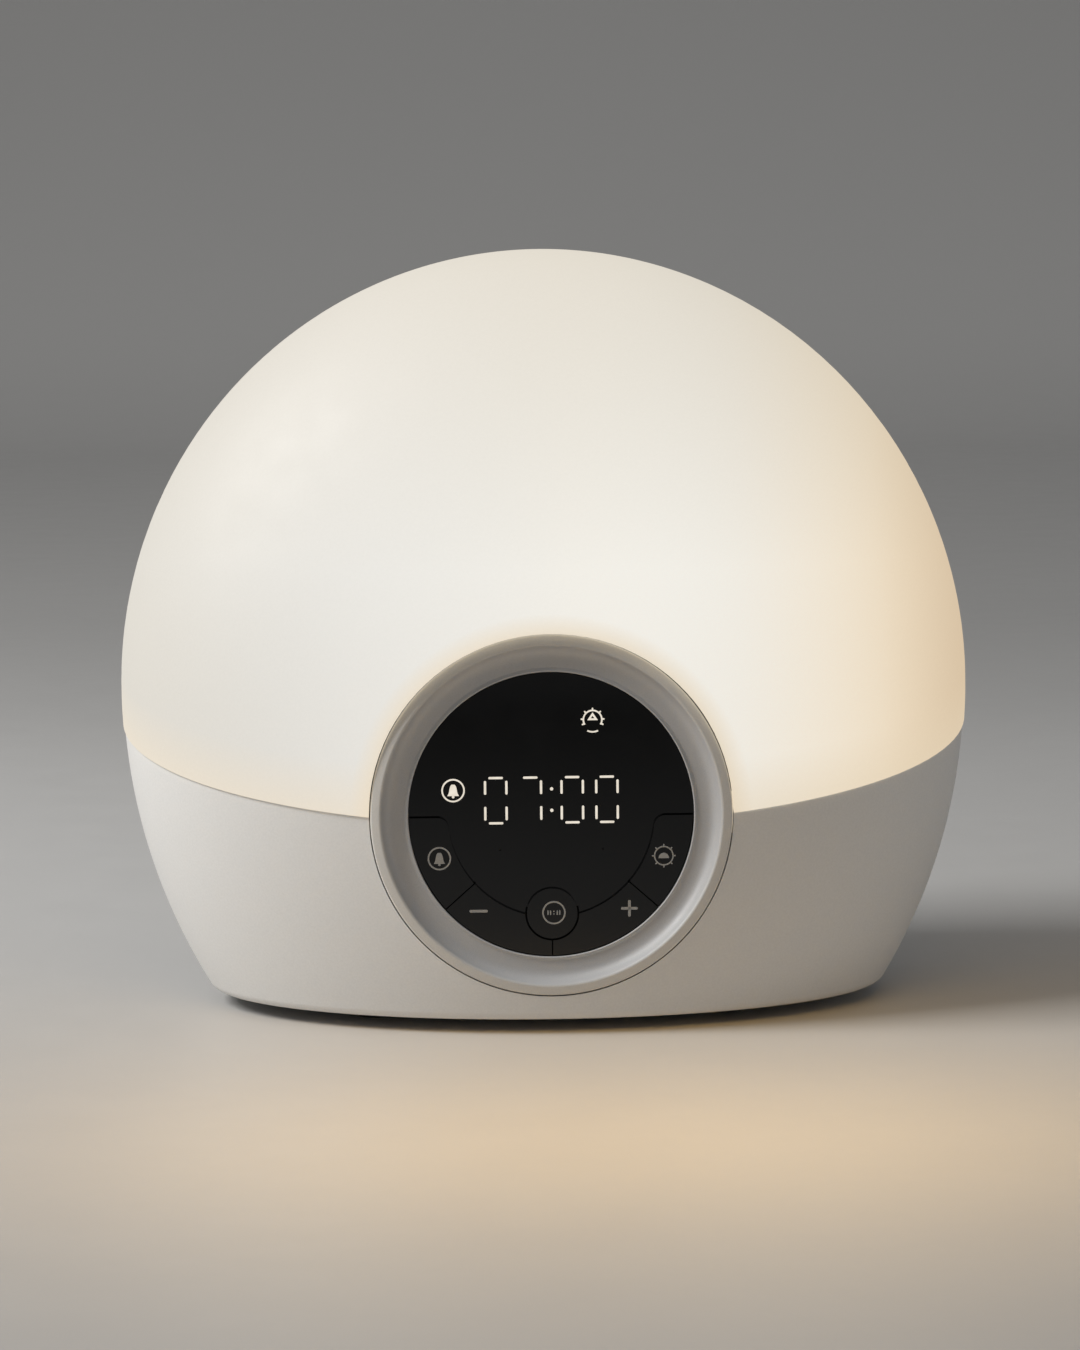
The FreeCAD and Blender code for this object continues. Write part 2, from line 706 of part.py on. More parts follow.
def make_panel_housing():
    """A cup with a carrier plate across it, board posts behind and four screw tabs."""
    back = CARRIER_Z - CARRIER_THICK
    carrier_r = RING_R - SLEEVE_STEP - SLEEVE_WALL - FIT
    step = back - CARRIER_THICK
    pieces = [
        annulus(CUP_OUT, CUP_IN, CUP_BACK_Z, CUP_FRONT_Z),
        annulus(CUP_IN + THIN, carrier_r - 3, step, -SLEEVE_BACK - FIT),
        cylinder(carrier_r, back, CARRIER_Z),
    ]
    pieces += [cylinder(POST_R, BOARD_Z, back + THIN, x, y) for x, y in BOARD_POSTS]
    for angle in BOSS_ANGLES:
        arm = block((CUP_OUT - CUP_WALL / 2, BOSS_CIRCLE_R), (-TAB_R, TAB_R), (BOARD_Z - TAB_THICK, BOARD_Z))
        arm = arm.fuse(cylinder(TAB_R, BOARD_Z - TAB_THICK, BOARD_Z, BOSS_CIRCLE_R))
        pieces.append(placed(arm, Placement(Vector(0, 0, 0), Rotation(Vector(0, 0, 1), angle))))
    cup = joined(pieces)

    window = slab_box((DISPLAY_W + 2 * GAP, DISPLAY_H + 2 * GAP, FAR / 8), 0, DISPLAY_Y, back - 1)
    cuts = [window]
    cuts += [cylinder(LIGHT_PIPE_R + GAP, back - 1, CARRIER_Z + 1, x, y) for x, y in LIGHT_PLACES]
    cuts += [cylinder(STEM_R + 2 * GAP, back - 1, CARRIER_Z + 1, x, y) for x, y in key_places().values()]
    cuts += [cylinder(PILOT_R, BOARD_Z - 1, back - 0.4, x, y) for x, y in BOARD_POSTS]
    cuts += [cylinder(CLEAR_HOLE_R, BOARD_Z - TAB_THICK - 1, BOARD_Z + 1, x, y) for x, y in panel_boss_places()]
    return along_panel(without(cup, cuts))


def make_housing_screws():
    seat = BOARD_Z - TAB_THICK
    return along_panel(Part.makeCompound([screw(x, y, seat, 7.5, up=False) for x, y in panel_boss_places()]))


def make_rear_cover():
    """Disc that closes the cup, with a rim inside it and a slot for the cable."""
    front = CUP_BACK_Z + REAR_COVER_THICK
    disc = cylinder(CUP_IN - FIT, CUP_BACK_Z, front)
    rim = annulus(CUP_IN - FIT, CUP_IN - FIT - 1.2, CUP_BACK_Z, front + 3.0)
    slot = slab_box((10.0, 7.0, FAR / 8), 0, -CUP_IN + 14.0, CUP_BACK_Z - 1)
    return along_panel(disc.fuse(rim).removeSplitter().cut(slot))


def make_control_board():
    board = cylinder(CUP_IN - 1.4, BOARD_Z - BOARD_THICK, BOARD_Z)
    holes = [cylinder(CLEAR_HOLE_R, BOARD_Z - BOARD_THICK - 1, BOARD_Z + 1, x, y) for x, y in BOARD_POSTS]
    return along_panel(without(board, holes))


def make_control_screws():
    seat = BOARD_Z - BOARD_THICK
    return along_panel(Part.makeCompound([screw(x, y, seat, 5.0, up=False) for x, y in BOARD_POSTS]))


def segment_well(x, y, flat, low, high):
    """A light well in the shape of one bar, lying flat or standing."""
    length = DIGIT_W - 2 * SEGMENT if flat else DIGIT_H / 2 - 2 * SEGMENT
    size = (length, SEGMENT, high - low) if flat else (SEGMENT, length, high - low)
    return slab_box(size, x, y, low)


def make_display():
    """Display block with seven light wells for each digit and two for the colon."""
    top = LENS_BACK_Z - THIN
    case = slab_box((DISPLAY_W, DISPLAY_H, top - BOARD_Z), 0, DISPLAY_Y, BOARD_Z)
    low = top - WELL_DEPTH
    wells = []
    reach_x = DIGIT_W / 2 - SEGMENT / 2
    reach_y = DIGIT_H / 2 - SEGMENT / 2
    for centre in DIGIT_X:
        for y in (-reach_y, 0.0, reach_y):
            wells.append(segment_well(centre, DISPLAY_Y + y, True, low, top + 1))
        for x in (-reach_x, reach_x):
            for y in (-reach_y / 2, reach_y / 2):
                wells.append(segment_well(centre + x, DISPLAY_Y + y, False, low, top + 1))
    middle = (DIGIT_X[1] + DIGIT_X[2]) / 2
    for y in (-DIGIT_H / 4, DIGIT_H / 4):
        wells.append(cylinder(SEGMENT / 2, low, top + 1, middle, DISPLAY_Y + y))
    return along_panel(case.cut(Part.makeCompound(wells)))


def make_indicator_lights():
    top = LENS_BACK_Z - THIN
    pipes = []
    for x, y in LIGHT_PLACES:
        tube = annulus(LIGHT_PIPE_R, LIGHT_PIPE_R - 0.8, BOARD_Z, top, x, y)
        lamp = slab_box((2.4, 2.4, 1.0), x, y, BOARD_Z)
        pipes.append(along_panel(tube))
        pipes.append(along_panel(lamp))
    return Part.makeCompound(pipes)


def panel_socket_place():
    return 0.0, -CUP_IN + 14.0


def make_control_chip():
    low = BOARD_Z - BOARD_THICK
    chip = slab_box((10.0, 10.0, 1.4), 12.0, 8.0, low - 1.4)
    x, y = panel_socket_place()
    socket = slab_box((SOCKET[0], SOCKET[1], 4.0), x, y, low - 4.0)
    return Part.makeCompound([along_panel(chip), along_panel(socket)])


# Light engine, in the plane of the seam


def make_tray():
    """White tray that closes the base under the dome, with an upturned rim and four bosses."""
    low = TRAY_TOP - TRAY_THICK
    inner = BASE_INNER + TRAY_GAP
    rim_out = TONGUE_IN + TRAY_GAP
    plate = body(inner).common(seam_slab(low, TRAY_TOP))
    rim = shell_between(rim_out, rim_out + TRAY_RIM_WALL, TRAY_TOP - THIN, TRAY_RIM_TOP)
    cup_room = along_panel(cylinder(CUP_OUT + 2 * GAP, -FAR / 4, FAR / 4))
    cup_room = cup_room.common(block((-FAR, FAR), (-FAR, 0), (0, FAR)))
    screws = spreader_screw_places()
    bosses = [along_seam(cylinder(POST_R, low - LED_BOSS_H, low + THIN, x, y)) for x, y in screws]
    cuts = [cup_room]
    cuts += [along_seam(cylinder(CLEAR_HOLE_R, low - 1, TRAY_TOP + 1, x, y)) for x, y in TRAY_POSTS]
    cuts += [along_seam(cylinder(PILOT_R, low - LED_BOSS_H - 1, TRAY_TOP + 1, x, y)) for x, y in screws]
    cuts.append(along_seam(cylinder(2 * CABLE_R, low - 1, TRAY_TOP + 1, *LED_CABLE_HOLE)))
    return without(joined([plate, rim] + bosses), cuts)


def spreader_screw_places():
    reach_x = LED_BOARD[0] / 2 - LED_SCREW_IN
    reach_y = LED_BOARD[1] / 2 - LED_SCREW_IN
    return [(x, LED_Y + y) for x in (-reach_x, reach_x) for y in (-reach_y, reach_y)]


def make_tray_screws():
    return along_seam(Part.makeCompound([screw(x, y, TRAY_TOP, 8.0) for x, y in TRAY_POSTS]))


def make_heat_spreader():
    plate = slab_box(SPREADER, 0, LED_Y, TRAY_TOP)
    holes = [cylinder(CLEAR_HOLE_R, TRAY_TOP - 1, 0, x, y) for x, y in spreader_screw_places()]
    return along_seam(without(plate, holes))


def make_led_board():
    low = TRAY_TOP + SPREADER[2]
    plate = slab_box(LED_BOARD, 0, LED_Y, low)
    holes = [cylinder(CLEAR_HOLE_R, low - 1, low + 3, x, y) for x, y in spreader_screw_places()]
    return along_seam(without(plate, holes))


def make_leds():
    low = TRAY_TOP + SPREADER[2] + LED_BOARD[2]
    lamps = []
    for column in range(LED_COLUMNS):
        for row in range(LED_ROWS):
            x = (column - (LED_COLUMNS - 1) / 2) * LED_PITCH[0]
            y = LED_Y + (row - (LED_ROWS - 1) / 2) * LED_PITCH[1]
            lamps.append(along_seam(slab_box((LED_SIZE, LED_SIZE, LED_H), x, y, low)))
    return Part.makeCompound(lamps)


def make_led_screws():
    seat = TRAY_TOP + SPREADER[2] + LED_BOARD[2]
    return along_seam(Part.makeCompound([screw(x, y, seat, LED_SHANK) for x, y in spreader_screw_places()]))


# Base internals


def make_main_board():
    board = slab_box((MAIN_W, MAIN_D, BOARD_THICK), MAIN_X, MAIN_Y, MAIN_Z)
    holes = [cylinder(CLEAR_HOLE_R, MAIN_Z - 1, MAIN_Z + 3, x, y) for x, y in main_post_places()]
    return without(board, holes)


def make_main_screws():
    seat = MAIN_Z + BOARD_THICK
    return Part.makeCompound([screw(x, y, seat, 5.0) for x, y in main_post_places()])


def make_main_chips():
    seat = MAIN_Z + BOARD_THICK
    chips = [
        slab_box((9.0, 9.0, 1.4), MAIN_X + 2.0, MAIN_Y - 4.0, seat),
        slab_box((5.0, 6.2, 1.6), MAIN_X + 14.0, MAIN_Y - 6.0, seat),
    ]
    return Part.makeCompound(chips)


def make_capacitor():
    seat = MAIN_Z + BOARD_THICK
    can = cylinder(4.0, seat, seat + 11.0, MAIN_X + 22.0, MAIN_Y + 1.0)
    top = [edge for edge in can.Edges if edge.BoundBox.ZMin > seat + 10]
    return can.makeFillet(0.6, top)


def make_coil():
    seat = MAIN_Z + BOARD_THICK
    profile = [(0.0, 0.0), (4.5, 0.0), (4.5, 1.0), (3.4, 1.0), (3.4, 4.0), (4.5, 4.0), (4.5, 5.0), (0.0, 5.0)]
    return placed(spin(profile), Placement(Vector(MAIN_X + 12.0, MAIN_Y + 5.0, seat), Rotation()))


def socket_places():
    rear = MAIN_Y + MAIN_D / 2 - SOCKET[1] / 2 - 1.0
    return {
        "speaker": (MAIN_X - 20.0, rear),
        "panel": (MAIN_X - 20.0 + 10.0, rear),
        "power": (MAIN_X, rear),
        "led": (MAIN_X + 20.0, rear),
    }


def make_board_sockets():
    seat = MAIN_Z + BOARD_THICK
    return Part.makeCompound([slab_box(SOCKET, x, y, seat) for x, y in socket_places().values()])


def make_cable_plugs():
    seat = MAIN_Z + BOARD_THICK + SOCKET[2]
    size = (SOCKET[0] - 1.0, SOCKET[1] - 1.0, PLUG_H)
    return Part.makeCompound([slab_box(size, x, y, seat) for x, y in socket_places().values()])


def make_power_inlet():
    """Round low-voltage socket: flange in the recess, bore, centre pin and body."""
    top = INLET_FACE_Y + INLET_FLANGE
    rear = INLET_FACE_Y - INLET_BODY
    body_part = cylinder(INLET_BODY_R, rear, INLET_FACE_Y + THIN)
    flange = cylinder(INLET_FLANGE_R, INLET_FACE_Y, top)
    bore = cylinder(INLET_BORE_R, top - INLET_BORE, top + 1)
    pin = cylinder(INLET_PIN_R, top - INLET_BORE - THIN, top - 1.0)
    socket = joined([flange.fuse(body_part).removeSplitter().cut(bore), pin])
    return along_y(socket)


def make_inlet_nut():
    high = INLET_FACE_Y - INLET_WALL
    corners = [
        (NUT_R * math.cos(math.radians(60 * step)), NUT_R * math.sin(math.radians(60 * step)))
        for step in range(6)
    ]
    nut = prism(corners, high - NUT_H, high).cut(cylinder(INLET_BODY_R + 0.05, high - NUT_H - 1, high + 1))
    return along_y(nut)


def make_speaker():
    magnet_low = SPEAKER_FLANGE + SPEAKER_CONE_H
    top = magnet_low + MAGNET_H
    neck = SPEAKER_R - 2.2
    profile = [
        (0.0, 1.0), (neck - 1.0, 0.6), (neck - 1.0, 0.0), (SPEAKER_R, 0.0), (SPEAKER_R, SPEAKER_FLANGE),
        (neck, SPEAKER_FLANGE), (MAGNET_R - 2.0, magnet_low), (MAGNET_R, magnet_low), (MAGNET_R, top), (0.0, top),
    ]
    return placed(spin(profile), Placement(Vector(SPEAKER_X, FLOOR_Y, COVER_TOP), Rotation()))


def make_speaker_clamp():
    low = COVER_TOP + SPEAKER_FLANGE
    high = low + CLAMP_THICK
    ring = annulus(SPEAKER_R + FIT + CLAMP_WALL, SPEAKER_R - CLAMP_LAP, low, high, SPEAKER_X, FLOOR_Y)
    ears = [cylinder(POST_R + 0.8, low, high, x, y) for x, y in clamp_screw_places()]
    arms = [
        slab_box((2 * POST_R, CLAMP_EAR - SPEAKER_R, CLAMP_THICK), SPEAKER_X,
                 FLOOR_Y + side * (CLAMP_EAR + SPEAKER_R) / 2, low)
        for side in (-1, 1)
    ]
    ring = joined([ring] + ears + arms)
    return without(ring, [cylinder(CLEAR_HOLE_R, low - 1, high + 1, x, y) for x, y in clamp_screw_places()])


def make_clamp_screws():
    seat = COVER_TOP + SPEAKER_FLANGE + CLAMP_THICK
    return Part.makeCompound([screw(x, y, seat, 2.4) for x, y in clamp_screw_places()])


def cable(points, radius=CABLE_R):
    """A round cable: straight runs joined by arcs as large as the runs allow."""
    edges = []
    start = points[0]
    for before, here, after in zip(points, points[1:], points[2:]):
        into = here - before
        out = after - here
        turn = into.getAngle(out)
        shorter = min(into.Length, out.Length)
        trim = 0.45 * shorter
        bend = trim / math.tan(turn / 2)
        into.normalize()
        out.normalize()
        first = here - into * trim
        last = here + out * trim
        inward = (out - into).normalize()
        middle = here + inward * (bend / math.cos(turn / 2) - bend)
        edges.append(line(start, first))
        edges.append(Part.Arc(first, middle, last).toShape())
        start = last
    edges.append(line(start, points[-1]))
    path = Part.Wire(edges)
    ring = Part.Circle(points[0], points[1] - points[0], radius).toShape()
    return path.makePipeShell([Part.Wire(ring)], True, False)


def make_cables():
    plug_z = MAIN_Z + BOARD_THICK + SOCKET[2] + PLUG_H
    places = {name: Vector(x, y, plug_z) for name, (x, y) in socket_places().items()}
    up = Vector(0, 0, 9.0)

    inlet = Vector(0, INLET_FACE_Y - INLET_BODY, INLET_Z)
    power = places["power"]
    power_route = [power, power + up, inlet + Vector(4.0, -14.0, 8.0), inlet - Vector(0, 9.0, 0), inlet]

    socket_x, socket_y = panel_socket_place()
    board_end = PANEL.multVec(Vector(socket_x, socket_y, BOARD_Z - BOARD_THICK - 4.0))
    through = PANEL.multVec(Vector(socket_x, socket_y, CUP_BACK_Z - 6.0))
    panel = places["panel"]
    panel_route = [board_end, through, panel + Vector(-3.0, -8.0, 11.0), panel + up, panel]

    magnet = Vector(SPEAKER_X + MAGNET_R, FLOOR_Y + 2.0, COVER_TOP + SPEAKER_FLANGE + SPEAKER_CONE_H + MAGNET_H / 2)
    speaker = places["speaker"]
    speaker_route = [magnet, magnet + Vector(7.0, 0, 0), speaker + Vector(-7.0, -1.0, 6.0), speaker + up, speaker]

    hole = SEAM.multVec(Vector(LED_CABLE_HOLE[0], LED_CABLE_HOLE[1], TRAY_TOP - 12.0))
    above = SEAM.multVec(Vector(LED_CABLE_HOLE[0], LED_CABLE_HOLE[1], TRAY_TOP + 6.0))
    board_top = TRAY_TOP + SPREADER[2] + LED_BOARD[2]
    end = SEAM.multVec(Vector(LED_BOARD[0] / 2 - 2.0, LED_CABLE_HOLE[1], board_top + CABLE_R))
    led = places["led"]
    led_route = [led, led + up, hole - Vector(0, 0, 8.0), above, end]
    return {
        "power_leads": cable(power_route),
        "panel_cable": cable(panel_route),
        "speaker_leads": cable(speaker_route),
        "led_cable": cable(led_route),
    }


def make_all():
    parts["diffuser_dome"] = make_dome()
    parts["base_shell"] = make_base()
    parts["bottom_cover"] = make_bottom_cover()
    parts["rubber_feet"] = make_feet()
    parts["cover_screws"] = make_cover_screws()
    parts["bezel_ring"] = along_panel(make_bezel_ring())
    parts["display_lens"] = make_lens()
    for name, key in make_keys().items():
        parts[name + "_key"] = key
    for name, plunger in make_plungers().items():
        parts[name + "_plunger"] = plunger
    parts["switch_bodies"] = make_switches()
    parts["panel_housing"] = make_panel_housing()
    parts["housing_screws"] = make_housing_screws()
    parts["panel_rear_cover"] = make_rear_cover()
    parts["control_board"] = make_control_board()
    parts["control_board_screws"] = make_control_screws()
    parts["control_chip"] = make_control_chip()
    parts["display_module"] = make_display()
    parts["indicator_lights"] = make_indicator_lights()
    parts["reflector_tray"] = make_tray()
    parts["tray_screws"] = make_tray_screws()
    parts["heat_spreader"] = make_heat_spreader()
    parts["led_board"] = make_led_board()
    parts["leds"] = make_leds()
    parts["led_board_screws"] = make_led_screws()
    parts["main_board"] = make_main_board()
    parts["main_board_screws"] = make_main_screws()
    parts["main_chips"] = make_main_chips()
    parts["capacitor"] = make_capacitor()
    parts["coil"] = make_coil()
    parts["board_sockets"] = make_board_sockets()
    parts["cable_plugs"] = make_cable_plugs()
    parts["power_inlet"] = make_power_inlet()
    parts["inlet_nut"] = make_inlet_nut()
    parts["speaker"] = make_speaker()
    parts["speaker_clamp"] = make_speaker_clamp()
    parts["clamp_screws"] = make_clamp_screws()
    parts.update(make_cables())


make_all()
os.makedirs("parts", exist_ok=True)
for name, shape in parts.items():
    shape.exportStep("parts/" + name + ".step")
    print(name, len(shape.Solids), round(shape.Volume), shape.isValid())
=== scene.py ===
import json
import math
import bmesh
import bpy
import numpy as np
from mathutils import Matrix, Vector


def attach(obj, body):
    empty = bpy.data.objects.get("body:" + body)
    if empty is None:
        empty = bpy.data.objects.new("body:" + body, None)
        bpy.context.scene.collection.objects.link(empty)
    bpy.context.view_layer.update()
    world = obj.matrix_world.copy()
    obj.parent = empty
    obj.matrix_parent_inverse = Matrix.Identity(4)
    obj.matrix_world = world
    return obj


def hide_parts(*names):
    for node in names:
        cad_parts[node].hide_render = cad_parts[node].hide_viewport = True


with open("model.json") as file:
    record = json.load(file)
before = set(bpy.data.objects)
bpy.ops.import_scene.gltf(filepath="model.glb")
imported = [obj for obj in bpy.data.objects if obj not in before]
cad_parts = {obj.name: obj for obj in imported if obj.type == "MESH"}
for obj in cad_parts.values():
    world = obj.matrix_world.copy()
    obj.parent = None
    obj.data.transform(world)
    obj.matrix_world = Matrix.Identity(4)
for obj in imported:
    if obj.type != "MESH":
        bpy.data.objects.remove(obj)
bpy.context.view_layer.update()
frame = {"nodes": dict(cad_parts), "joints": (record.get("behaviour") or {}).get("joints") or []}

NODES = frame["nodes"]

# Camera, for a picture of 1080 by 1350. Lengths are in metres and angles in degrees.
AIM = Vector((-0.000995, -0.0014, 0.07884))
CAMERA_DISTANCE = 1.1
CAMERA_ELEVATION = 7.41
CAMERA_TURN = 1.44
CAMERA_ROLL = -0.52
LENS = 117.77
SENSOR = 36.0
CLIP_START = 0.01

# Stage: a floor that turns up into a backdrop far behind
FLOOR_FRONT = -2.8
FLOOR_BACK = 1.7
FLOOR_HALF = 3.0
FLOOR_ROWS = 27
COVE_RADIUS = 0.7
COVE_POINTS = 25
WALL_TOP = 2.4
# How pale the floor and backdrop are, with painted light and shade where the studio light falls off: the
# distance back, and its grey there
FLOOR_PAINTED_LIGHT_AND_SHADE = (
    (-0.4, 0.36),
    (-0.2, 0.405),
    (0.0, 0.46),
    (0.2, 0.495),
    (0.4, 0.48),
    (0.55, 0.445),
    (0.9, 0.455),
    (1.9, 0.6),
    (2.15, 0.57),
    (2.4, 0.49),
)
FLOOR_TINT = (1.0, 0.995, 0.985)

# Lights
KEY_AZIMUTH = -77.0
KEY_ELEVATION = 42.0
KEY_DISTANCE = 1.4
KEY_SIZE = 0.6
KEY_POWER = 20.0
KEY_COLOUR = (1.0, 0.985, 0.96)
FILL_AZIMUTH = 84.0
FILL_ELEVATION = 8.0
FILL_DISTANCE = 1.6
FILL_SIZE = 0.9
FILL_POWER = 2.0
TOP_BACK = 0.2
TOP_HEIGHT = 1.7
TOP_SIZE = 1.6
TOP_POWER = 3.0
WHITE_LIGHT = (1.0, 1.0, 1.0)
WORLD_COLOUR = (0.165, 0.165, 0.165, 1.0)

# The object's own warm light on the table in front of it
POOL_PLACE = Vector((0.02, -0.175, 0.12))
POOL_SIDES = (0.2, 0.05)
POOL_POWER = 0.2
POOL_COLOUR = (1.0, 0.6, 0.16)

# Symbols stand this far out of the lens and the keys, and reach this far into them
PRINT_OUT = 0.00003
PRINT_IN = 0.00002
PRINT_EDGE = 0.000012

# Points along round forms. Those of a bar are turned on by a little, in radians, so that none lies
# just where its two halves meet.
BAR_POINTS = 32
BAR_NUDGE = 0.001
CIRCLE_POINTS = 64
ARC_POINTS = 40

# The lit time, in the panel's own coordinates: x to the right and y up from its centre
DIGIT_CENTRES = (-0.01312, -0.00489, 0.00505, 0.0133)
TIME_SHOWN = "0700"
DIGIT_Y = 0.00347
DIGIT_WIDE = 0.00507
DIGIT_TALL = 0.0108
SEGMENT_WIDE = 0.00056
FLAT_SEGMENT = 0.00345
UPRIGHT_SEGMENT = 0.0033
UPRIGHT_Y = 0.00308
COLON_X = 0.00015
COLON_Y = (0.00266, -0.00247)
COLON_DOT = 0.0004
SEGMENTS = {
    "0": ("top", "bottom", "upper_left", "lower_left", "upper_right", "lower_right"),
    "7": ("top", "upper_right", "lower_right"),
}

# Where the symbols are
ALARM_LAMP = (-0.02325, 0.0060)
SUNRISE_LAMP = (0.01005, 0.0225)
ALARM_PRINT = (-0.0267, -0.0102)
LIGHT_PRINT = (0.0267, -0.0102)
MINUS_PRINT = (-0.0175, -0.0229)
PLUS_PRINT = (0.0184, -0.0227)
CLOCK_PRINT = (0.0004, -0.0235)

# The circle round the bells and the clock mark
RING_RADIUS = 0.0026
RING_LINE = 0.00038

# A bell: its height as a lamp and as a print, then its form, in shares of its height
BELL_LAMP_TALL = 0.0029
BELL_PRINT_TALL = 0.0028
BELL_TOP = 0.55
BELL_CROWN_HALF = 0.3
BELL_CROWN_PACE = 1.7
BELL_FLARE = 0.19
CLAPPER_DROP = 0.53
CLAPPER_RADIUS = 0.11
BELL_POINTS = 18

# The suns, with a triangle over a horizon in the lit one, and a small lit dome in the printed one
SUN_RADIUS = 0.0022
RAY_LENGTH = 0.00065
SKY_ENDS = (-32.0, 212.0)
SKY_RAYS = (-25.0, 3.0, 46.0, 90.0, 134.0, 177.0, 205.0)
HORIZON_RADIUS = 0.0029
HORIZON_ENDS = (244.0, 296.0)
HORIZON_POINTS = 12
TRIANGLE_HALF = 0.00085
TRIANGLE_LOW = 0.0001
TRIANGLE_HIGH = 0.00135
TRIANGLE_LINE = 0.00045
LIGHT_LINE = 0.8 * RING_LINE
LIGHT_RAYS = range(0, 360, 45)
LIT_DOME_HALF = 0.00125
LIT_DOME_TALL = 0.0013
LIT_DOME_DROP = 0.0006
LIT_DOME_POINTS = 20

# The signs, and the marks and dots in the clock mark
MINUS_LENGTH = 0.00436
PLUS_LENGTH = 0.0040
SIGN_LINE = 0.00065
CLOCK_MARK_X = (-0.0014, -0.0008, 0.0008, 0.0014)
CLOCK_MARK_TALL = 0.0011
CLOCK_MARK_WIDE = 0.0003
CLOCK_DOT_Y = (-0.0003, 0.0003)
CLOCK_DOT = 0.00016

# The touch groove of the window, with a matt black line along its floor as painted shade
GROOVE_CENTRE = (0.0, 0.0023)
GROOVE_RADIUS = 0.0162
GROOVE_ENDS = (-138.5, -41.5)
GROOVE_POINTS = 60
GROOVE_LINE = 0.00044
GROOVE_FLOOR = -0.00019
GROOVE_FILL = -0.00012

# The ring's section, as radius and height over the window's face: an inner rim, a trough, a crest
# and a lip that falls away outwards, then the seat and the sleeve behind. Its arcs run from one
# angle to another, where 180 faces the ring's middle, 90 the front and 0 outwards.
RING_BORE = 0.034
RING_OUT = 0.043
RIM_TOP = 0.0004
RIM_ROUND = 0.00025
RIM_START = 180.0
RIM_FALL = 48.0
RIM_POINTS = 12
TROUGH_START = (0.03495, -0.00015)
TROUGH_POWER = 5
TROUGH_POINTS = 35
CREST_CENTRE = (0.0409, 0.00225)
CREST_ROUND = 0.0007
CREST_RISE = 157.0
CREST_POINTS = 14
LIP_CENTRE = (0.0424, 0.00203)
LIP_ROUND = 0.0006
LIP_FALL = 78.0
LIP_END = 0.0
LIP_POINTS = 12
RING_SEAT = 0.00015
RING_BACK = -0.0022
SLEEVE_OUT = 0.0422
SLEEVE_IN = 0.0408
SLEEVE_END = -0.0055
SLEEVE_ROOT = -0.0006
BACK_EDGE = 0.0388
RING_TURNS = 288

# The glow of the dome, with painted shade: the place along X, and how bright it is there. The run dims
# towards both sides and turns warm to the right as painted shade.
GLOW_WITH_PAINTED_SHADE = (
    (-0.105, (0.49, 0.46, 0.40)),
    (-0.0525, (0.60, 0.585, 0.545)),
    (0.0, (0.74, 0.72, 0.665)),
    (0.046, (0.78, 0.745, 0.67)),
    (0.08, (0.765, 0.65, 0.49)),
    (0.105, (0.61, 0.465, 0.30)),
)
# Up to the top it gets dimmer and warmer: painted shade on the glow
TOP_PAINTED_SHADE = (0.42, 0.35, 0.24)
TOP_PAINTED_SHADE_START = 0.11
TOP_PAINTED_SHADE_END = 0.19
TOP_PAINTED_SHADE_SHARE = 0.6
# Just above the seam, and close round the front of the panel, the light is warmer
SEAM_Y = -0.0012
SEAM_Z = 0.0694
SEAM_TILT = 16.3
SEAM_GLOW = (0.68, 0.56, 0.39)
SEAM_GLOW_HEIGHT = 0.012
SEAM_GLOW_SHARE = 0.5
PANEL_GLOW_START = 0.043
PANEL_GLOW_END = 0.048
PANEL_GLOW_SHARE = 0.7
FRONT_FADE = 0.01

# The ring's outer lip is a little paler and warmer than its trough: painted light from the dome's glow
LIP_PAINTED_LIGHT_START = 0.0402
LIP_PAINTED_LIGHT_BLEND = 0.0008

# Patterns: how detailed the noise is, and the values between which nearly all of it lies
COLOUR_DETAIL = 3.0
WEAR_DETAIL = 4.0
GRAIN_DETAIL = 2.0
NOISE_LOW = 0.3
NOISE_HIGH = 0.7

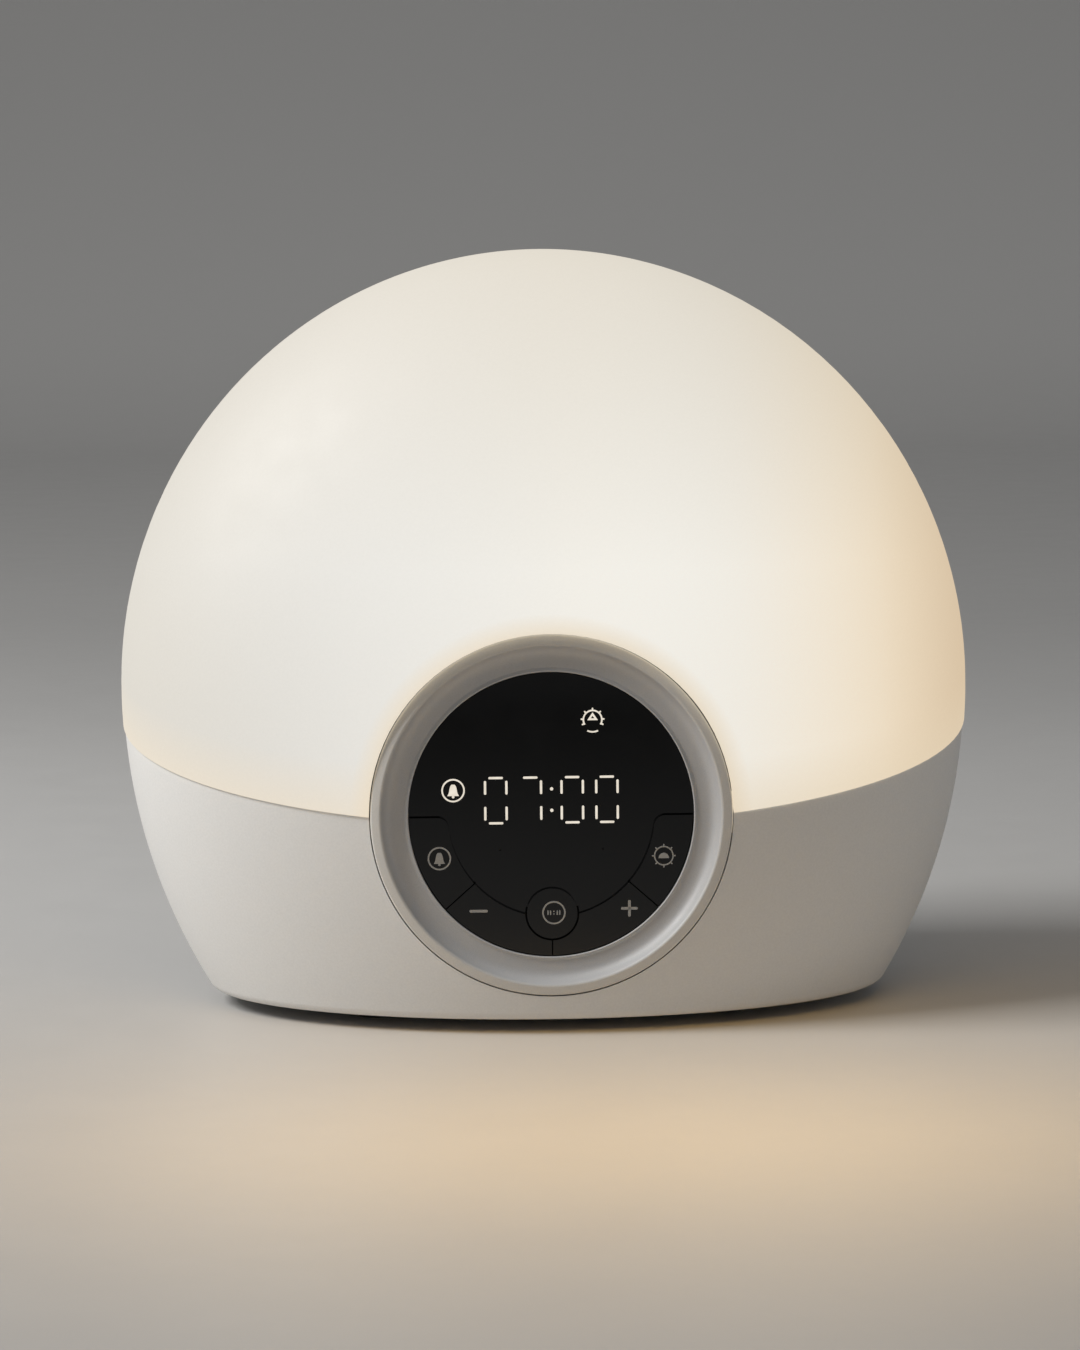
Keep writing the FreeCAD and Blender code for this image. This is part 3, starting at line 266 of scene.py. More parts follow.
# The finishes unseen from outside or only in part: two tones, the size of their spots, roughness,
# metallic, grain size and grain height
PLAIN_FINISHES = {
    "rubber": ((0.035, 0.035, 0.036), (0.06, 0.06, 0.062), 0.0008, 0.8, 0.0, 0.0005, 0.00003),
    "screw_steel": ((0.42, 0.42, 0.43), (0.6, 0.6, 0.6), 0.0004, 0.35, 1.0, 0.0003, 0.00001),
    "dark_plastic": ((0.03, 0.03, 0.032), (0.05, 0.05, 0.053), 0.0007, 0.55, 0.0, 0.0004, 0.00002),
    "circuit_board": ((0.012, 0.10, 0.045), (0.02, 0.15, 0.07), 0.0012, 0.35, 0.0, 0.0006, 0.00001),
    "white_board": ((0.7, 0.71, 0.7), (0.78, 0.79, 0.78), 0.0012, 0.4, 0.0, 0.0006, 0.00001),
    "white_tray": ((0.76, 0.76, 0.74), (0.82, 0.82, 0.8), 0.001, 0.5, 0.0, 0.0004, 0.00001),
    "chip_black": ((0.02, 0.02, 0.02), (0.035, 0.035, 0.035), 0.0004, 0.6, 0.0, 0.0003, 0.00001),
    "clear_light": ((0.8, 0.68, 0.4), (0.9, 0.78, 0.5), 0.0005, 0.3, 0.0, 0.0004, 0.000005),
    "bare_aluminium": ((0.55, 0.55, 0.56), (0.68, 0.68, 0.69), 0.0008, 0.4, 1.0, 0.0004, 0.00001),
    "copper_coil": ((0.45, 0.18, 0.07), (0.6, 0.27, 0.11), 0.0005, 0.35, 1.0, 0.0003, 0.00002),
    "speaker_steel": ((0.12, 0.12, 0.125), (0.2, 0.2, 0.205), 0.0008, 0.45, 0.8, 0.0005, 0.00002),
    "cable_black": ((0.02, 0.02, 0.02), (0.035, 0.035, 0.035), 0.0006, 0.55, 0.0, 0.0004, 0.00001),
    "cable_white": ((0.7, 0.7, 0.68), (0.78, 0.78, 0.76), 0.0006, 0.5, 0.0, 0.0004, 0.00001),
    "plunger_plastic": ((0.5, 0.47, 0.36), (0.6, 0.57, 0.45), 0.0005, 0.5, 0.0, 0.0003, 0.00001),
}
# Their roughness wanders by this much either way, in patches that are so many spots wide
PLAIN_WEAR = 0.06
PLAIN_PATCH = 8


# The panel's own frame


def span(node, way):
    """How far a node reaches along a direction, lowest and highest."""
    mesh = NODES[node].data
    places = np.empty(len(mesh.vertices) * 3)
    mesh.vertices.foreach_get("co", places)
    along = places.reshape(-1, 3) @ np.array(way)
    return along.min(), along.max()


def panel_axes():
    """Right, up and out of the panel, from the way the keys travel, and its origin: the middle
    of the ring, at the height of the lens's face."""
    out = -Vector(frame["joints"][0]["axis"]).normalized()
    right = Vector((1.0, 0.0, 0.0))
    up = out.cross(right)
    ring_low, ring_high = span("bezel_ring", up)
    face = span("display_lens", out)[1]
    origin = up * ((ring_low + ring_high) / 2) + out * face
    return np.array([right, up, out]), np.array(origin)


PANEL_AXES, PANEL_ORIGIN = panel_axes()


def on_panel(flat, height):
    """Points in space for flat panel points: origin + x * right + y * up + height * out."""
    heights = np.broadcast_to(np.asarray(height, float), flat.shape[:-1])
    raised = np.concatenate([flat, heights[..., None]], axis=-1)
    return PANEL_ORIGIN + raised @ PANEL_AXES


# Mesh building. A shape is a pair of its points and its faces.


def grid_faces(rows, columns, wrap_rows, wrap_columns):
    """Four-sided faces between the neighbours of a grid of points, row by row."""
    row = np.arange(rows if wrap_rows else rows - 1)[:, None]
    column = np.arange(columns if wrap_columns else columns - 1)[None, :]
    next_row = (row + 1) % rows
    next_column = (column + 1) % columns
    corners = (row * columns + column, row * columns + next_column,
               next_row * columns + next_column, next_row * columns + column)
    spread = [np.broadcast_to(corner, (row.size, column.size)) for corner in corners]
    return np.stack(spread, axis=-1).reshape(-1, 4)


def whole_turn(count):
    """Angles of a full circle in equal steps, from 0 to just before the end."""
    return np.linspace(0.0, 2 * math.pi, count + 1)[:-1]


def unit_points(turns):
    """Points of a circle of radius 1: x = cos(a), y = sin(a)."""
    return np.stack([np.cos(turns), np.sin(turns)], axis=1)


def arc_path(centre, radius, start, end, count=ARC_POINTS):
    """Points along an arc, from one angle to another: centre + radius * (cos(a), sin(a))."""
    return np.asarray(centre) + radius * unit_points(np.radians(np.linspace(start, end, count)))


def pad(outline):
    """A filled figure. Its outline is carried up its side, and in by the edge onto its top:
    ring k is centre + share_k * (outline - centre) at height_k, and both ends close in a point."""
    centre = outline.mean(axis=0)
    reach = np.abs(outline - centre).max()
    shares = np.array([1.0, 1.0, 1.0 - PRINT_EDGE / reach])
    heights = np.array([-PRINT_IN, PRINT_OUT - PRINT_EDGE, PRINT_OUT])
    rings = centre + shares[:, None, None] * (outline - centre)
    points = on_panel(rings, heights[:, None]).reshape(-1, 3)
    poles = on_panel(np.array([centre, centre]), np.array([-PRINT_IN, PRINT_OUT]))
    count = len(outline)
    top = (len(heights) - 1) * count
    low_pole = np.full(count, len(points))
    around = np.arange(count)
    beside = (around + 1) % count
    fans = [np.stack([beside, around, low_pole], axis=-1),
            np.stack([top + around, top + beside, low_pole + 1], axis=-1)]
    faces = grid_faces(len(heights), count, False, True).tolist() + np.concatenate(fans).tolist()
    return np.concatenate([points, poles]), faces


def stroke(path, width, closed=False, low=-PRINT_IN, high=PRINT_OUT):
    """A drawn line with mitred corners. At each point of the path, the corners of its section are
    path + side * width / 2 * normal / cos(half the turn), low and high; open ends are closed."""
    onward = np.roll(path, -1, axis=0) - path
    if not closed:
        onward[-1] = onward[-2]
    onward /= np.linalg.norm(onward, axis=1)[:, None]
    normal = np.stack([-onward[:, 1], onward[:, 0]], axis=1)
    before = np.roll(normal, 1, axis=0)
    if not closed:
        before[0] = normal[0]
    middle = normal + before
    middle /= np.linalg.norm(middle, axis=1)[:, None]
    mitred = middle / np.sum(middle * normal, axis=1)[:, None]
    sides = np.array([-0.5, -0.5, 0.5, 0.5]) * width
    heights = np.array([low, high, high, low])
    flat = path[:, None, :] + sides[None, :, None] * mitred[:, None, :]
    points = on_panel(flat, heights[None, :]).reshape(-1, 3)
    faces = grid_faces(len(path), len(sides), closed, True).tolist()
    if not closed:
        last = len(sides) * (len(path) - 1)
        faces += [[0, 1, 2, 3], [last + 3, last + 2, last + 1, last]]
    return points, faces


def circle_line(centre, radius, width):
    """A drawn circle: a closed stroke along centre + radius * (cos(a), sin(a))."""
    return stroke(arc_path(centre, radius, 0.0, 360.0, CIRCLE_POINTS + 1)[:-1], width, closed=True)


def disc(centre, radius):
    """A filled circle: centre + radius * (cos(a), sin(a))."""
    return pad(np.asarray(centre) + radius * unit_points(whole_turn(BAR_POINTS)))


def capsule(centre, length, width, angle=0.0):
    """A bar with round ends: half * sign(cos(a)) along it, plus a circle of half its width, all
    turned by the angle."""
    turns = whole_turn(BAR_POINTS) + BAR_NUDGE
    half = (length - width) / 2
    along = half * np.sign(np.cos(turns)) + width / 2 * np.cos(turns)
    across = width / 2 * np.sin(turns)
    lean = math.radians(angle)
    flat = np.stack([along * math.cos(lean) - across * math.sin(lean),
                     along * math.sin(lean) + across * math.cos(lean)], axis=1)
    return pad(np.asarray(centre) + flat)


def rays(centre, angles, width):
    """Short bars round a sun, which point away from it. The middle of each is at
    centre + (sun's radius + half a ray) * (cos(a), sin(a))."""
    middle = SUN_RADIUS + RAY_LENGTH / 2
    made = []
    for angle in angles:
        turn = math.radians(angle)
        place = (centre[0] + middle * math.cos(turn), centre[1] + middle * math.sin(turn))
        made.append(capsule(place, RAY_LENGTH, width, angle))
    return made


def turned(section, count):
    """A closed section turned about the panel's axis: x = r * cos(a), y = r * sin(a)."""
    flat = section[:, :1, None] * unit_points(whole_turn(count))
    points = on_panel(flat, section[:, 1:])
    return points.reshape(-1, 3), grid_faces(len(section), count, True, True).tolist()


def combined(shapes):
    """Several shapes as one set of points and faces."""
    points = []
    faces = []
    offset = 0
    for shape_points, shape_faces in shapes:
        points.append(shape_points)
        faces += [[offset + index for index in face] for face in shape_faces]
        offset += len(shape_points)
    return np.concatenate(points), faces


def add_piece(name, shapes, material, body):
    """Makes a mesh of the shapes, with its faces outwards, and lets it ride on its body."""
    points, faces = combined(shapes)
    mesh = bpy.data.meshes.new(name)
    mesh.from_pydata(points.tolist(), [], faces)
    built = bmesh.new()
    built.from_mesh(mesh)
    bmesh.ops.recalc_face_normals(built, faces=built.faces)
    built.to_mesh(mesh)
    built.free()
    mesh.materials.append(material)
    piece = bpy.data.objects.new(name, mesh)
    bpy.context.scene.collection.objects.link(piece)
    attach(piece, body)
    return piece


# Materials


class Finish:
    """A procedural material on Object coordinates, built up from a plain shader."""

    def __init__(self, name, metallic=0.0, specular=0.5):
        self.material = bpy.data.materials.new(name)
        self.material.use_nodes = True
        self.tree = self.material.node_tree
        self.shader = self.tree.nodes["Principled BSDF"]
        self.shader.inputs["Metallic"].default_value = metallic
        self.shader.inputs["Specular IOR Level"].default_value = specular
        self.places = self.tree.nodes.new("ShaderNodeTexCoord").outputs["Object"]

    def link(self, source, target):
        """Joins the output of one node to the input of another."""
        self.tree.links.new(source, target)

    def noise(self, spot, detail=COLOUR_DETAIL):
        """Noise whose spots are about so many metres wide."""
        pattern = self.tree.nodes.new("ShaderNodeTexNoise")
        pattern.inputs["Scale"].default_value = 1.0 / spot
        pattern.inputs["Detail"].default_value = detail
        self.link(self.places, pattern.inputs["Vector"])
        return pattern.outputs["Fac"]

    def along(self, way):
        """How far a point is along a direction."""
        product = self.tree.nodes.new("ShaderNodeVectorMath")
        product.operation = "DOT_PRODUCT"
        product.inputs[1].default_value = way
        self.link(self.places, product.inputs[0])
        return product.outputs["Value"]

    def from_panel(self):
        """How far a point is from the panel's middle, along the panel's face."""
        flat = self.tree.nodes.new("ShaderNodeCombineXYZ")
        for way, name in zip(PANEL_AXES[:2], ("X", "Y")):
            place = self.tree.nodes.new("ShaderNodeMath")
            place.operation = "SUBTRACT"
            place.inputs[1].default_value = way @ PANEL_ORIGIN
            self.link(self.along(way), place.inputs[0])
            self.link(place.outputs["Value"], flat.inputs[name])
        length = self.tree.nodes.new("ShaderNodeVectorMath")
        length.operation = "LENGTH"
        self.link(flat.outputs["Vector"], length.inputs[0])
        return length.outputs["Value"]

    def times(self, first, second):
        """One value times another."""
        product = self.tree.nodes.new("ShaderNodeMath")
        product.operation = "MULTIPLY"
        self.link(first, product.inputs[0])
        self.link(second, product.inputs[1])
        return product.outputs["Value"]

    def ranged(self, value, low, high, start=NOISE_LOW, end=NOISE_HIGH):
        """Runs from low to high as the value runs from start to end, and stays there past them."""
        spread = self.tree.nodes.new("ShaderNodeMapRange")
        spread.inputs["From Min"].default_value = start
        spread.inputs["From Max"].default_value = end
        spread.inputs["To Min"].default_value = low
        spread.inputs["To Max"].default_value = high
        self.link(value, spread.inputs["Value"])
        return spread.outputs["Result"]

    def ramped(self, value, stops):
        """A colour that runs smoothly through stops, each a value and the colour there."""
        start = stops[0][0]
        reach = stops[-1][0] - start
        ramp = self.tree.nodes.new("ShaderNodeValToRGB")
        ramp.color_ramp.interpolation = "CARDINAL"
        for place, colour in stops[1:-1]:
            ramp.color_ramp.elements.new((place - start) / reach).color = (*colour, 1.0)
        ramp.color_ramp.elements[0].color = (*stops[0][1], 1.0)
        ramp.color_ramp.elements[-1].color = (*stops[-1][1], 1.0)
        self.link(self.ranged(value, 0.0, 1.0, start, start + reach), ramp.inputs["Fac"])
        return ramp.outputs["Color"]

    def blended(self, share, first, second):
        """A colour between two others, which are colours or outputs of nodes."""
        blend = self.tree.nodes.new("ShaderNodeMix")
        blend.data_type = "RGBA"
        self.link(share, blend.inputs["Factor"])
        for name, colour in (("A", first), ("B", second)):
            socket = next(s for s in blend.inputs if s.name == name and s.type == "RGBA")
            if isinstance(colour, tuple):
                socket.default_value = (*colour, 1.0)
            else:
                self.link(colour, socket)
        return next(s for s in blend.outputs if s.type == "RGBA")

    def wandering(self, first, second, spot):
        """A colour that wanders between two tones."""
        return self.blended(self.ranged(self.noise(spot), 0.0, 1.0), first, second)

    def coloured(self, colour):
        """The surface's colour comes from an output of a node."""
        self.link(colour, self.shader.inputs["Base Color"])
        return self

    def speckled(self, first, second, spot):
        """The surface's colour wanders between two tones."""
        return self.coloured(self.wandering(first, second, spot))

    def worn(self, low, high, patch):
        """The surface's roughness wanders between two values."""
        wear = self.ranged(self.noise(patch, WEAR_DETAIL), low, high)
        self.link(wear, self.shader.inputs["Roughness"])
        return self

    def grained(self, grain, height):
        """Fine relief, of a grain size and a height in metres."""
        bump = self.tree.nodes.new("ShaderNodeBump")
        bump.inputs["Strength"].default_value = 1.0
        bump.inputs["Distance"].default_value = height
        self.link(self.noise(grain, GRAIN_DETAIL), bump.inputs["Height"])
        self.link(bump.outputs["Normal"], self.shader.inputs["Normal"])
        return self

    def glowing(self, colour):
        """The surface gives off light of a colour, as bright as the colour is."""
        self.shader.inputs["Emission Strength"].default_value = 1.0
        self.link(colour, self.shader.inputs["Emission Color"])
        return self


def dome_glow_and_shade(finish):
    """The colour of the dome's light: a run along X that also paints shade, dimmer to both sides
    and warmer to the right, mixed with painted shade that is dimmer and warmer to the top, and with
    warmer tones along the seam and round the panel."""
    # The run along X dims towards both sides and turns warm to the right: painted shade in the glow
    glow_and_shade = finish.ramped(finish.along((1.0, 0.0, 0.0)), GLOW_WITH_PAINTED_SHADE)
    height = finish.along((0.0, 0.0, 1.0))
    # Dimmer and warmer towards the top: painted shade
    top_shade_share = finish.ranged(height, 0.0, TOP_PAINTED_SHADE_SHARE, TOP_PAINTED_SHADE_START, TOP_PAINTED_SHADE_END)
    glow_and_shade = finish.blended(top_shade_share, glow_and_shade, TOP_PAINTED_SHADE)
    tilt = math.radians(SEAM_TILT)
    normal = Vector((0.0, -math.sin(tilt), math.cos(tilt)))
    seam = normal.dot(Vector((0.0, SEAM_Y, SEAM_Z)))
    at_seam = finish.ranged(finish.along(normal), SEAM_GLOW_SHARE, 0.0, seam, seam + SEAM_GLOW_HEIGHT)
    glow_and_shade = finish.blended(at_seam, glow_and_shade, SEAM_GLOW)
    reach = finish.from_panel()
    near_panel = finish.ranged(reach, PANEL_GLOW_SHARE, 0.0, PANEL_GLOW_START, PANEL_GLOW_END)
    in_front = finish.ranged(finish.along((0.0, 1.0, 0.0)), 1.0, 0.0, -FRONT_FADE, FRONT_FADE)
    return finish.blended(finish.times(near_panel, in_front), glow_and_shade, SEAM_GLOW)


def opal_dome():
    """Satin opal plastic, lit from inside, warmer along the seam and round the panel; painted shade makes
    its glow dimmer to the sides and the top and warmer to the right and the top.
    """
    finish = Finish("opal_dome", specular=0.35)
    finish.speckled((0.213, 0.212, 0.209), (0.229, 0.228, 0.225), spot=0.0006)
    finish.worn(0.52, 0.6, patch=0.012)
    finish.grained(grain=0.00035, height=0.000006)
    return finish.glowing(dome_glow_and_shade(finish)).material


def white_shell():
    """Fine matt white moulding."""
    finish = Finish("white_shell")
    finish.speckled((0.735, 0.73, 0.715), (0.775, 0.77, 0.755), spot=0.0005)
    finish.worn(0.5, 0.6, patch=0.01)
    return finish.grained(grain=0.0003, height=0.00001).material


def satin_silver():
    """Satin silver lacquer with fine metal flake, its outer lip painted paler and warmer as painted light
    from the dome's glow.
    """
    finish = Finish("satin_silver", metallic=0.1)
    flake = finish.ranged(finish.noise(spot=0.00018), 0.0, 1.0)
    trough = finish.blended(flake, (0.45, 0.452, 0.458), (0.53, 0.532, 0.538))
    # The lip's paler, warmer tones are painted light from the dome's glow
    lip = finish.blended(flake, (0.60, 0.585, 0.555), (0.68, 0.665, 0.635))
    lip_painted_light_end = LIP_PAINTED_LIGHT_START + LIP_PAINTED_LIGHT_BLEND
    out = finish.ranged(finish.from_panel(), 0.0, 1.0, LIP_PAINTED_LIGHT_START, lip_painted_light_end)
    finish.coloured(finish.blended(out, trough, lip))
    finish.worn(0.5, 0.58, patch=0.006)
    return finish.grained(grain=0.0002, height=0.000006).material


def black_gloss():
    """Polished smoked window, with faint wipe marks."""
    finish = Finish("black_gloss")
    finish.speckled((0.0008, 0.0008, 0.0008), (0.0018, 0.0017, 0.0016), spot=0.0008)
    finish.worn(0.04, 0.09, patch=0.009)
    return finish.grained(grain=0.004, height=0.0000015).material


def black_key():
    """Polished black keys, a little more touched than the window."""
    finish = Finish("black_key", specular=0.52)
    finish.speckled((0.001, 0.001, 0.001), (0.0024, 0.0023, 0.0022), spot=0.0007)
    finish.worn(0.06, 0.12, patch=0.006)
    return finish.grained(grain=0.003, height=0.0000015).material


def groove_shade_black():
    """Matt black along the floor of the groove, as painted shade in it."""
    finish = Finish("groove_shade_black", specular=0.05)
    finish.speckled((0.0006, 0.0006, 0.0006), (0.0016, 0.0016, 0.0016), spot=0.0003)
    return finish.worn(0.85, 0.95, patch=0.001).material


def lit_symbol():
    """Warm white light that comes through the window, uneven along a bar."""
    finish = Finish("lit_symbol")
    finish.shader.inputs["Base Color"].default_value = (0.02, 0.02, 0.02, 1.0)
    finish.shader.inputs["Roughness"].default_value = 0.3
    return finish.glowing(finish.wandering((0.74, 0.67, 0.56), (0.86, 0.79, 0.68), spot=0.0015)).material


def printed_symbol():
    """Grey ink on a key."""
    finish = Finish("printed_symbol")
    finish.speckled((0.27, 0.262, 0.245), (0.38, 0.37, 0.35), spot=0.0002)
    return finish.worn(0.4, 0.6, patch=0.0006).material


def plain_finish(name):
    """One of the finishes that are only numbers."""
    first, second, spot, roughness, metallic, grain, height = PLAIN_FINISHES[name]
    finish = Finish(name, metallic)
    finish.speckled(first, second, spot)
    finish.worn(roughness - PLAIN_WEAR, roughness + PLAIN_WEAR, spot * PLAIN_PATCH)
    return finish.grained(grain, height).material


def floor_finish():
    """Pale satin table top, whose tone changes with distance as painted light and shade."""
    finish = Finish("floor")
    # Its grey rises and falls with distance back: painted light and shade
    painted_tones = [(back, tuple(tone * tint for tint in FLOOR_TINT)) for back, tone in FLOOR_PAINTED_LIGHT_AND_SHADE]
    finish.coloured(finish.ramped(finish.along((0.0, 1.0, 0.0)), painted_tones))
    finish.worn(0.46, 0.54, patch=0.02)
    return finish.grained(grain=0.0008, height=0.00002).material


FINISHES = {make.__name__: make() for make in (opal_dome, white_shell, satin_silver, black_gloss, black_key)}
FINISHES.update({name: plain_finish(name) for name in PLAIN_FINISHES})


def finish_nodes():
    """Gives every node of the model the finish that its material slot names."""
    for node in NODES.values():
        for slot in node.material_slots:
            slot.material = FINISHES[slot.material.name.split(".")[0]]


# The ring


def ring_section():
    """Round the ring's section. The rim, the crest and the lip are arcs. The trough rises from
    the rim to the crest by t^power, so that it is flat first and steep at its outer edge."""
    rim_centre = (RING_BORE + RIM_ROUND, RIM_TOP - RIM_ROUND)
    rim = arc_path(rim_centre, RIM_ROUND, RIM_START, RIM_FALL, RIM_POINTS)
    crest = arc_path(CREST_CENTRE, CREST_ROUND, CREST_RISE, LIP_FALL, CREST_POINTS)
    lip = arc_path(LIP_CENTRE, LIP_ROUND, LIP_FALL, LIP_END, LIP_POINTS)
    share = np.linspace(0.0, 1.0, TROUGH_POINTS + 1)[:-1, None]
    start = np.array(TROUGH_START)
    trough = start + np.hstack([share, share ** TROUGH_POWER]) * (crest[0] - start)
    back = np.array([
        (RING_OUT, RING_SEAT),
        (SLEEVE_OUT, RING_SEAT),
        (SLEEVE_OUT, SLEEVE_END),
        (SLEEVE_IN, SLEEVE_END),
        (SLEEVE_IN, SLEEVE_ROOT),
        (BACK_EDGE, RING_BACK),
        (RING_BORE, RING_BACK),
    ])
    return np.concatenate([rim, trough, crest, lip, back])


def add_ring():
    """The ring with its trough and lip, which stands for the plainer ring of the model."""
    shape = turned(ring_section(), RING_TURNS)
    ring = add_piece("dished_ring", [shape], FINISHES["satin_silver"], "root")
    ring.data.shade_smooth()
    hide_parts("bezel_ring")


# Symbols


def segment(name, centre):
    """One bar of a digit, above, below or beside the digit's centre."""
    if name in ("top", "bottom"):
        side = 1 if name == "top" else -1
        place = (centre, DIGIT_Y + side * DIGIT_TALL / 2)
        return capsule(place, FLAT_SEGMENT, SEGMENT_WIDE)
    level = 1 if name.startswith("upper") else -1
    side = 1 if name.endswith("right") else -1
    place = (centre + side * DIGIT_WIDE / 2, DIGIT_Y + level * UPRIGHT_Y)
    return capsule(place, UPRIGHT_SEGMENT, SEGMENT_WIDE, 90.0)


def time_digits():
    """The bars of the four digits, and the two dots between the hours and the minutes."""
    bars = [
        segment(name, centre)
        for digit, centre in zip(TIME_SHOWN, DIGIT_CENTRES)
        for name in SEGMENTS[digit]
    ]
    return bars + [disc((COLON_X, DIGIT_Y + y), COLON_DOT) for y in COLON_Y]


def bell(centre, tall):
    """A hand bell. t runs from 0 at its top to 1 at its mouth, and as shares of its height, half
    its width is crown * sqrt(1 - (1 - pace * t)^2) + flare * t^4. A small round clapper hangs
    below it."""
    down = np.linspace(0.0, 1.0, BELL_POINTS)
    rounding = 1.0 - np.minimum(down * BELL_CROWN_PACE, 1.0)
    half = BELL_CROWN_HALF * np.sqrt(1.0 - rounding ** 2) + BELL_FLARE * down ** 4
    height = BELL_TOP - down
    right = np.stack([half, height], axis=1)[1:]
    left = np.stack([-half, height], axis=1)[1:]
    outline = np.concatenate([left, right[::-1]]) * tall
    clapper = disc((centre[0], centre[1] - CLAPPER_DROP * tall), CLAPPER_RADIUS * tall)
    return [pad(np.asarray(centre) + outline), clapper]


def ringed_bell(centre, tall):
    """A bell in a drawn circle."""
    return [circle_line(centre, RING_RADIUS, RING_LINE)] + bell(centre, tall)


def sunrise_mark(centre):
    """A sun over a horizon, round a triangle with a small hole."""
    x, y = centre
    sky = stroke(arc_path(centre, SUN_RADIUS, *SKY_ENDS), RING_LINE)
    horizon = stroke(arc_path(centre, HORIZON_RADIUS, *HORIZON_ENDS, HORIZON_POINTS), RING_LINE)
    corners = np.array([
        (x - TRIANGLE_HALF, y + TRIANGLE_LOW),
        (x + TRIANGLE_HALF, y + TRIANGLE_LOW),
        (x, y + TRIANGLE_HIGH),
    ])
    triangle = stroke(corners, TRIANGLE_LINE, closed=True)
    return [sky, horizon, triangle] + rays(centre, SKY_RAYS, RING_LINE)


def light_mark(centre):
    """A sun with a small lit dome in it, which is a half circle made a little taller:
    x = half * cos(a), y = tall * sin(a) - drop."""
    x, y = centre
    turns = np.linspace(0.0, math.pi, LIT_DOME_POINTS)
    across = x + LIT_DOME_HALF * np.cos(turns)
    up = y - LIT_DOME_DROP + LIT_DOME_TALL * np.sin(turns)
    dome = pad(np.stack([across, up], axis=1))
    return [circle_line(centre, SUN_RADIUS, LIGHT_LINE), dome] + rays(centre, LIGHT_RAYS, LIGHT_LINE)


def clock_mark(centre):
    """A ring with a row of small upright marks in it, as on a digital clock."""
    x, y = centre
    marks = [capsule((x + step, y), CLOCK_MARK_TALL, CLOCK_MARK_WIDE, 90.0) for step in CLOCK_MARK_X]
    dots = [disc((x, y + step), CLOCK_DOT) for step in CLOCK_DOT_Y]
    return [circle_line(centre, RING_RADIUS, RING_LINE)] + marks + dots


def add_symbols():
    """The painted shade line in the touch groove, the lit symbols of the display, and a print on each key.
    """
    groove_path = arc_path(GROOVE_CENTRE, GROOVE_RADIUS, *GROOVE_ENDS, GROOVE_POINTS)
    # A matt black line on the groove's floor: painted shade
    groove_shade = stroke(groove_path, GROOVE_LINE, low=GROOVE_FLOOR, high=GROOVE_FILL)
    add_piece("groove_shade_line", [groove_shade], groove_shade_black(), "root")

    lamps = {
        "time_digits": time_digits(),
        "alarm_lamp_symbol": ringed_bell(ALARM_LAMP, BELL_LAMP_TALL),
        "sunrise_lamp_symbol": sunrise_mark(SUNRISE_LAMP),
    }
    lit = lit_symbol()
    for name, shapes in lamps.items():
        add_piece(name, shapes, lit, "root")

    prints = {
        "alarm": ringed_bell(ALARM_PRINT, BELL_PRINT_TALL),
        "light": light_mark(LIGHT_PRINT),
        "minus": [capsule(MINUS_PRINT, MINUS_LENGTH, SIGN_LINE)],
        "plus": [capsule(PLUS_PRINT, PLUS_LENGTH, SIGN_LINE, angle) for angle in (0.0, 90.0)],
        "clock": clock_mark(CLOCK_PRINT),
    }
    ink = printed_symbol()
    for key, shapes in prints.items():
        add_piece(key + "_key_print", shapes, ink, key + "_button")


# Stage, lights and camera


def cove_profile():
    """Floor, quarter round and wall, as distance back and height. The quarter round is
    back + radius * sin(a), radius * (1 - cos(a))."""
    turns = np.linspace(0.0, math.pi / 2, COVE_POINTS)
    cove_back = FLOOR_BACK + COVE_RADIUS * np.sin(turns)
    cove = np.stack([cove_back, COVE_RADIUS * (1 - np.cos(turns))], axis=1)
    level = np.linspace(FLOOR_FRONT, FLOOR_BACK, FLOOR_ROWS + 1)[:-1]
    front = np.stack([level, np.zeros(FLOOR_ROWS)], axis=1)
    top = np.array([[FLOOR_BACK + COVE_RADIUS, WALL_TOP]])
    return np.concatenate([front, cove, top])


def add_stage():
    """The floor and backdrop: the cove's profile carried straight from left to right."""
    profile = cove_profile()
    points = np.empty((len(profile), 2, 3))
    points[..., 0] = (-FLOOR_HALF, FLOOR_HALF)
    points[..., 1:] = profile[:, None, :]
    faces = grid_faces(len(profile), 2, False, False)
    mesh = bpy.data.meshes.new("floor")
    mesh.from_pydata(points.reshape(-1, 3).tolist(), [], faces.tolist())
    mesh.materials.append(floor_finish())
    mesh.shade_smooth()
    floor = bpy.data.objects.new("floor", mesh)
    bpy.context.scene.collection.objects.link(floor)
    return floor


def toward(azimuth, elevation, distance):
    """A place round the aim. Azimuth 0 is in front and 90 to the right, in degrees."""
    turn = math.radians(azimuth)
    rise = math.radians(elevation)
    way = Vector((math.sin(turn) * math.cos(rise), -math.cos(turn) * math.cos(rise), math.sin(rise)))
    return AIM + distance * way


def add_lamp(name, place, sides, power, colour):
    """A lamp with a rectangular face, which shines straight down until it is turned."""
    data = bpy.data.lights.new(name, "AREA")
    data.shape = "RECTANGLE"
    data.size, data.size_y = sides
    data.energy = power
    data.color = colour
    lamp = bpy.data.objects.new(name, data)
    lamp.location = place
    bpy.context.scene.collection.objects.link(lamp)
    return lamp


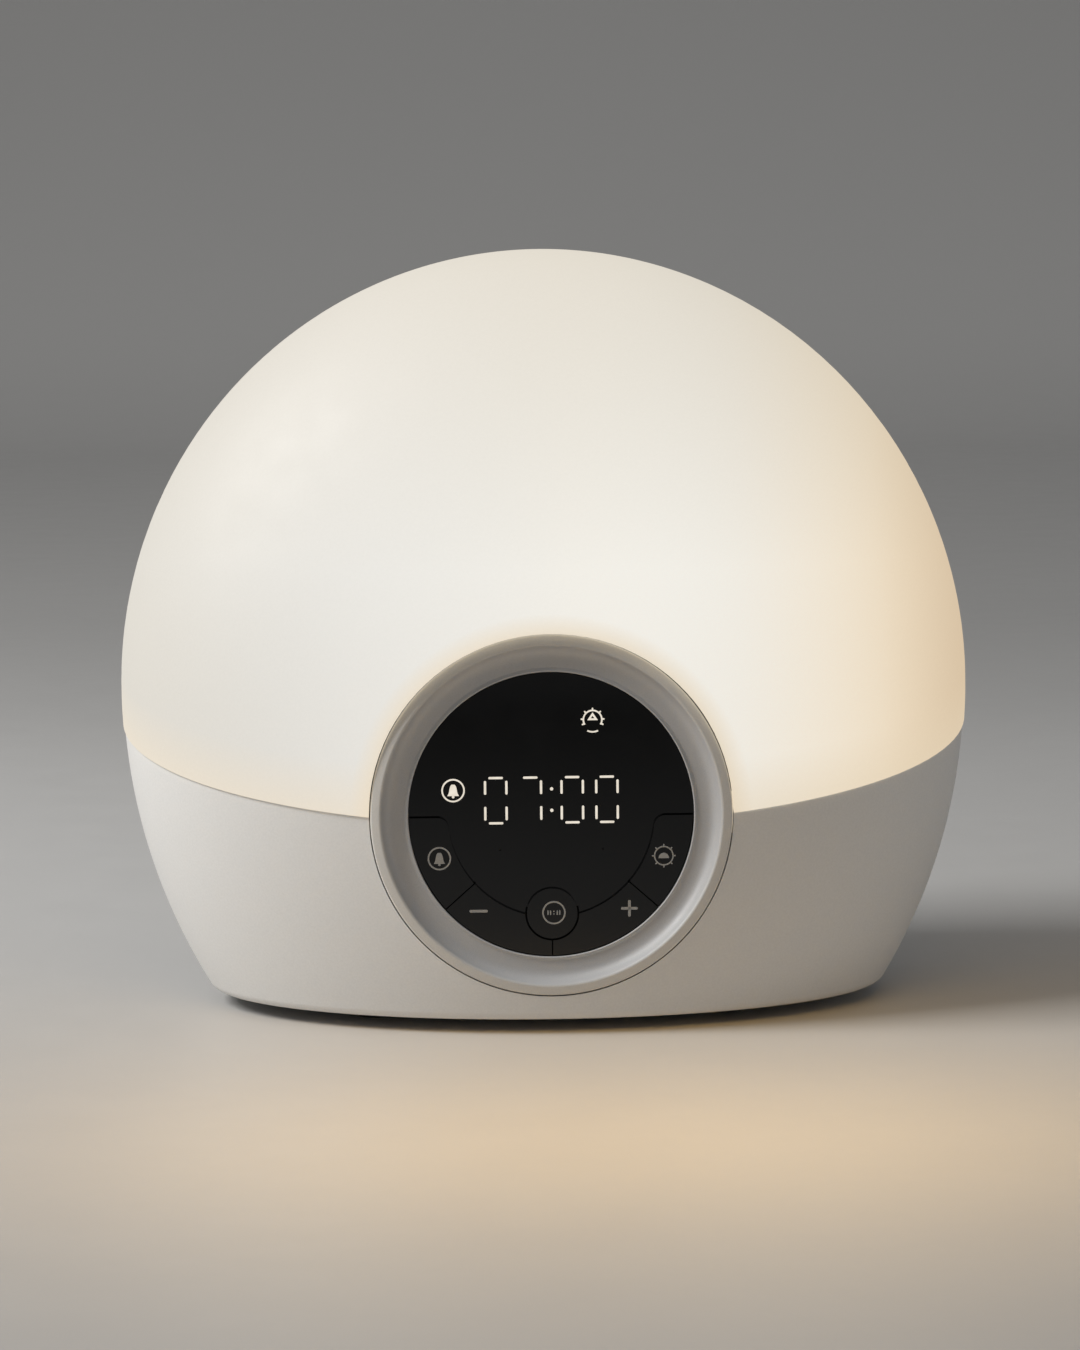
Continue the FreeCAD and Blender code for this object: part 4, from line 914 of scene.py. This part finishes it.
def add_softbox(name, place, size, power, colour=WHITE_LIGHT):
    """A square lamp that faces the middle of the object."""
    lamp = add_lamp(name, place, (size, size), power, colour)
    lamp.rotation_mode = "QUATERNION"
    lamp.rotation_quaternion = (AIM - place).to_track_quat("-Z", "Y")


def add_pool(floor):
    """A long lamp low in front of the object, which shines down and lights only the floor."""
    lamp = add_lamp("pool", POOL_PLACE, POOL_SIDES, POOL_POWER, POOL_COLOUR)
    lamp.visible_camera = False
    lamp.visible_glossy = False
    lit = bpy.data.collections.new("lit_by_pool")
    lit.objects.link(floor)
    lamp.light_linking.receiver_collection = lit


def add_lights(floor):
    """A key lamp from the left, a weak fill from the right, a top lamp, the pool and a grey world."""
    add_softbox("key", toward(KEY_AZIMUTH, KEY_ELEVATION, KEY_DISTANCE), KEY_SIZE, KEY_POWER, KEY_COLOUR)
    add_softbox("fill", toward(FILL_AZIMUTH, FILL_ELEVATION, FILL_DISTANCE), FILL_SIZE, FILL_POWER)
    add_softbox("top", AIM + Vector((0.0, TOP_BACK, TOP_HEIGHT)), TOP_SIZE, TOP_POWER)
    add_pool(floor)
    world = bpy.data.worlds.new("studio")
    world.use_nodes = True
    world.node_tree.nodes["Background"].inputs["Color"].default_value = WORLD_COLOUR
    bpy.context.scene.world = world


def add_camera():
    """Looks at the aim from the front, a little from above and turned to the left."""
    place = toward(-CAMERA_TURN, CAMERA_ELEVATION, CAMERA_DISTANCE)
    back = (place - AIM).normalized()
    right = Vector((0.0, 0.0, 1.0)).cross(back).normalized()
    level = Matrix((right, back.cross(right), back)).transposed()
    roll = Matrix.Rotation(math.radians(CAMERA_ROLL), 3, "Z")
    data = bpy.data.cameras.new("camera")
    data.sensor_width = SENSOR
    data.lens = LENS
    data.clip_start = CLIP_START
    camera = bpy.data.objects.new("camera", data)
    camera.matrix_world = Matrix.Translation(place) @ (level @ roll).to_4x4()
    bpy.context.scene.collection.objects.link(camera)
    bpy.context.scene.camera = camera


finish_nodes()
add_ring()
add_symbols()
add_lights(add_stage())
add_camera()
bpy.context.scene.view_settings.view_transform = "Standard"
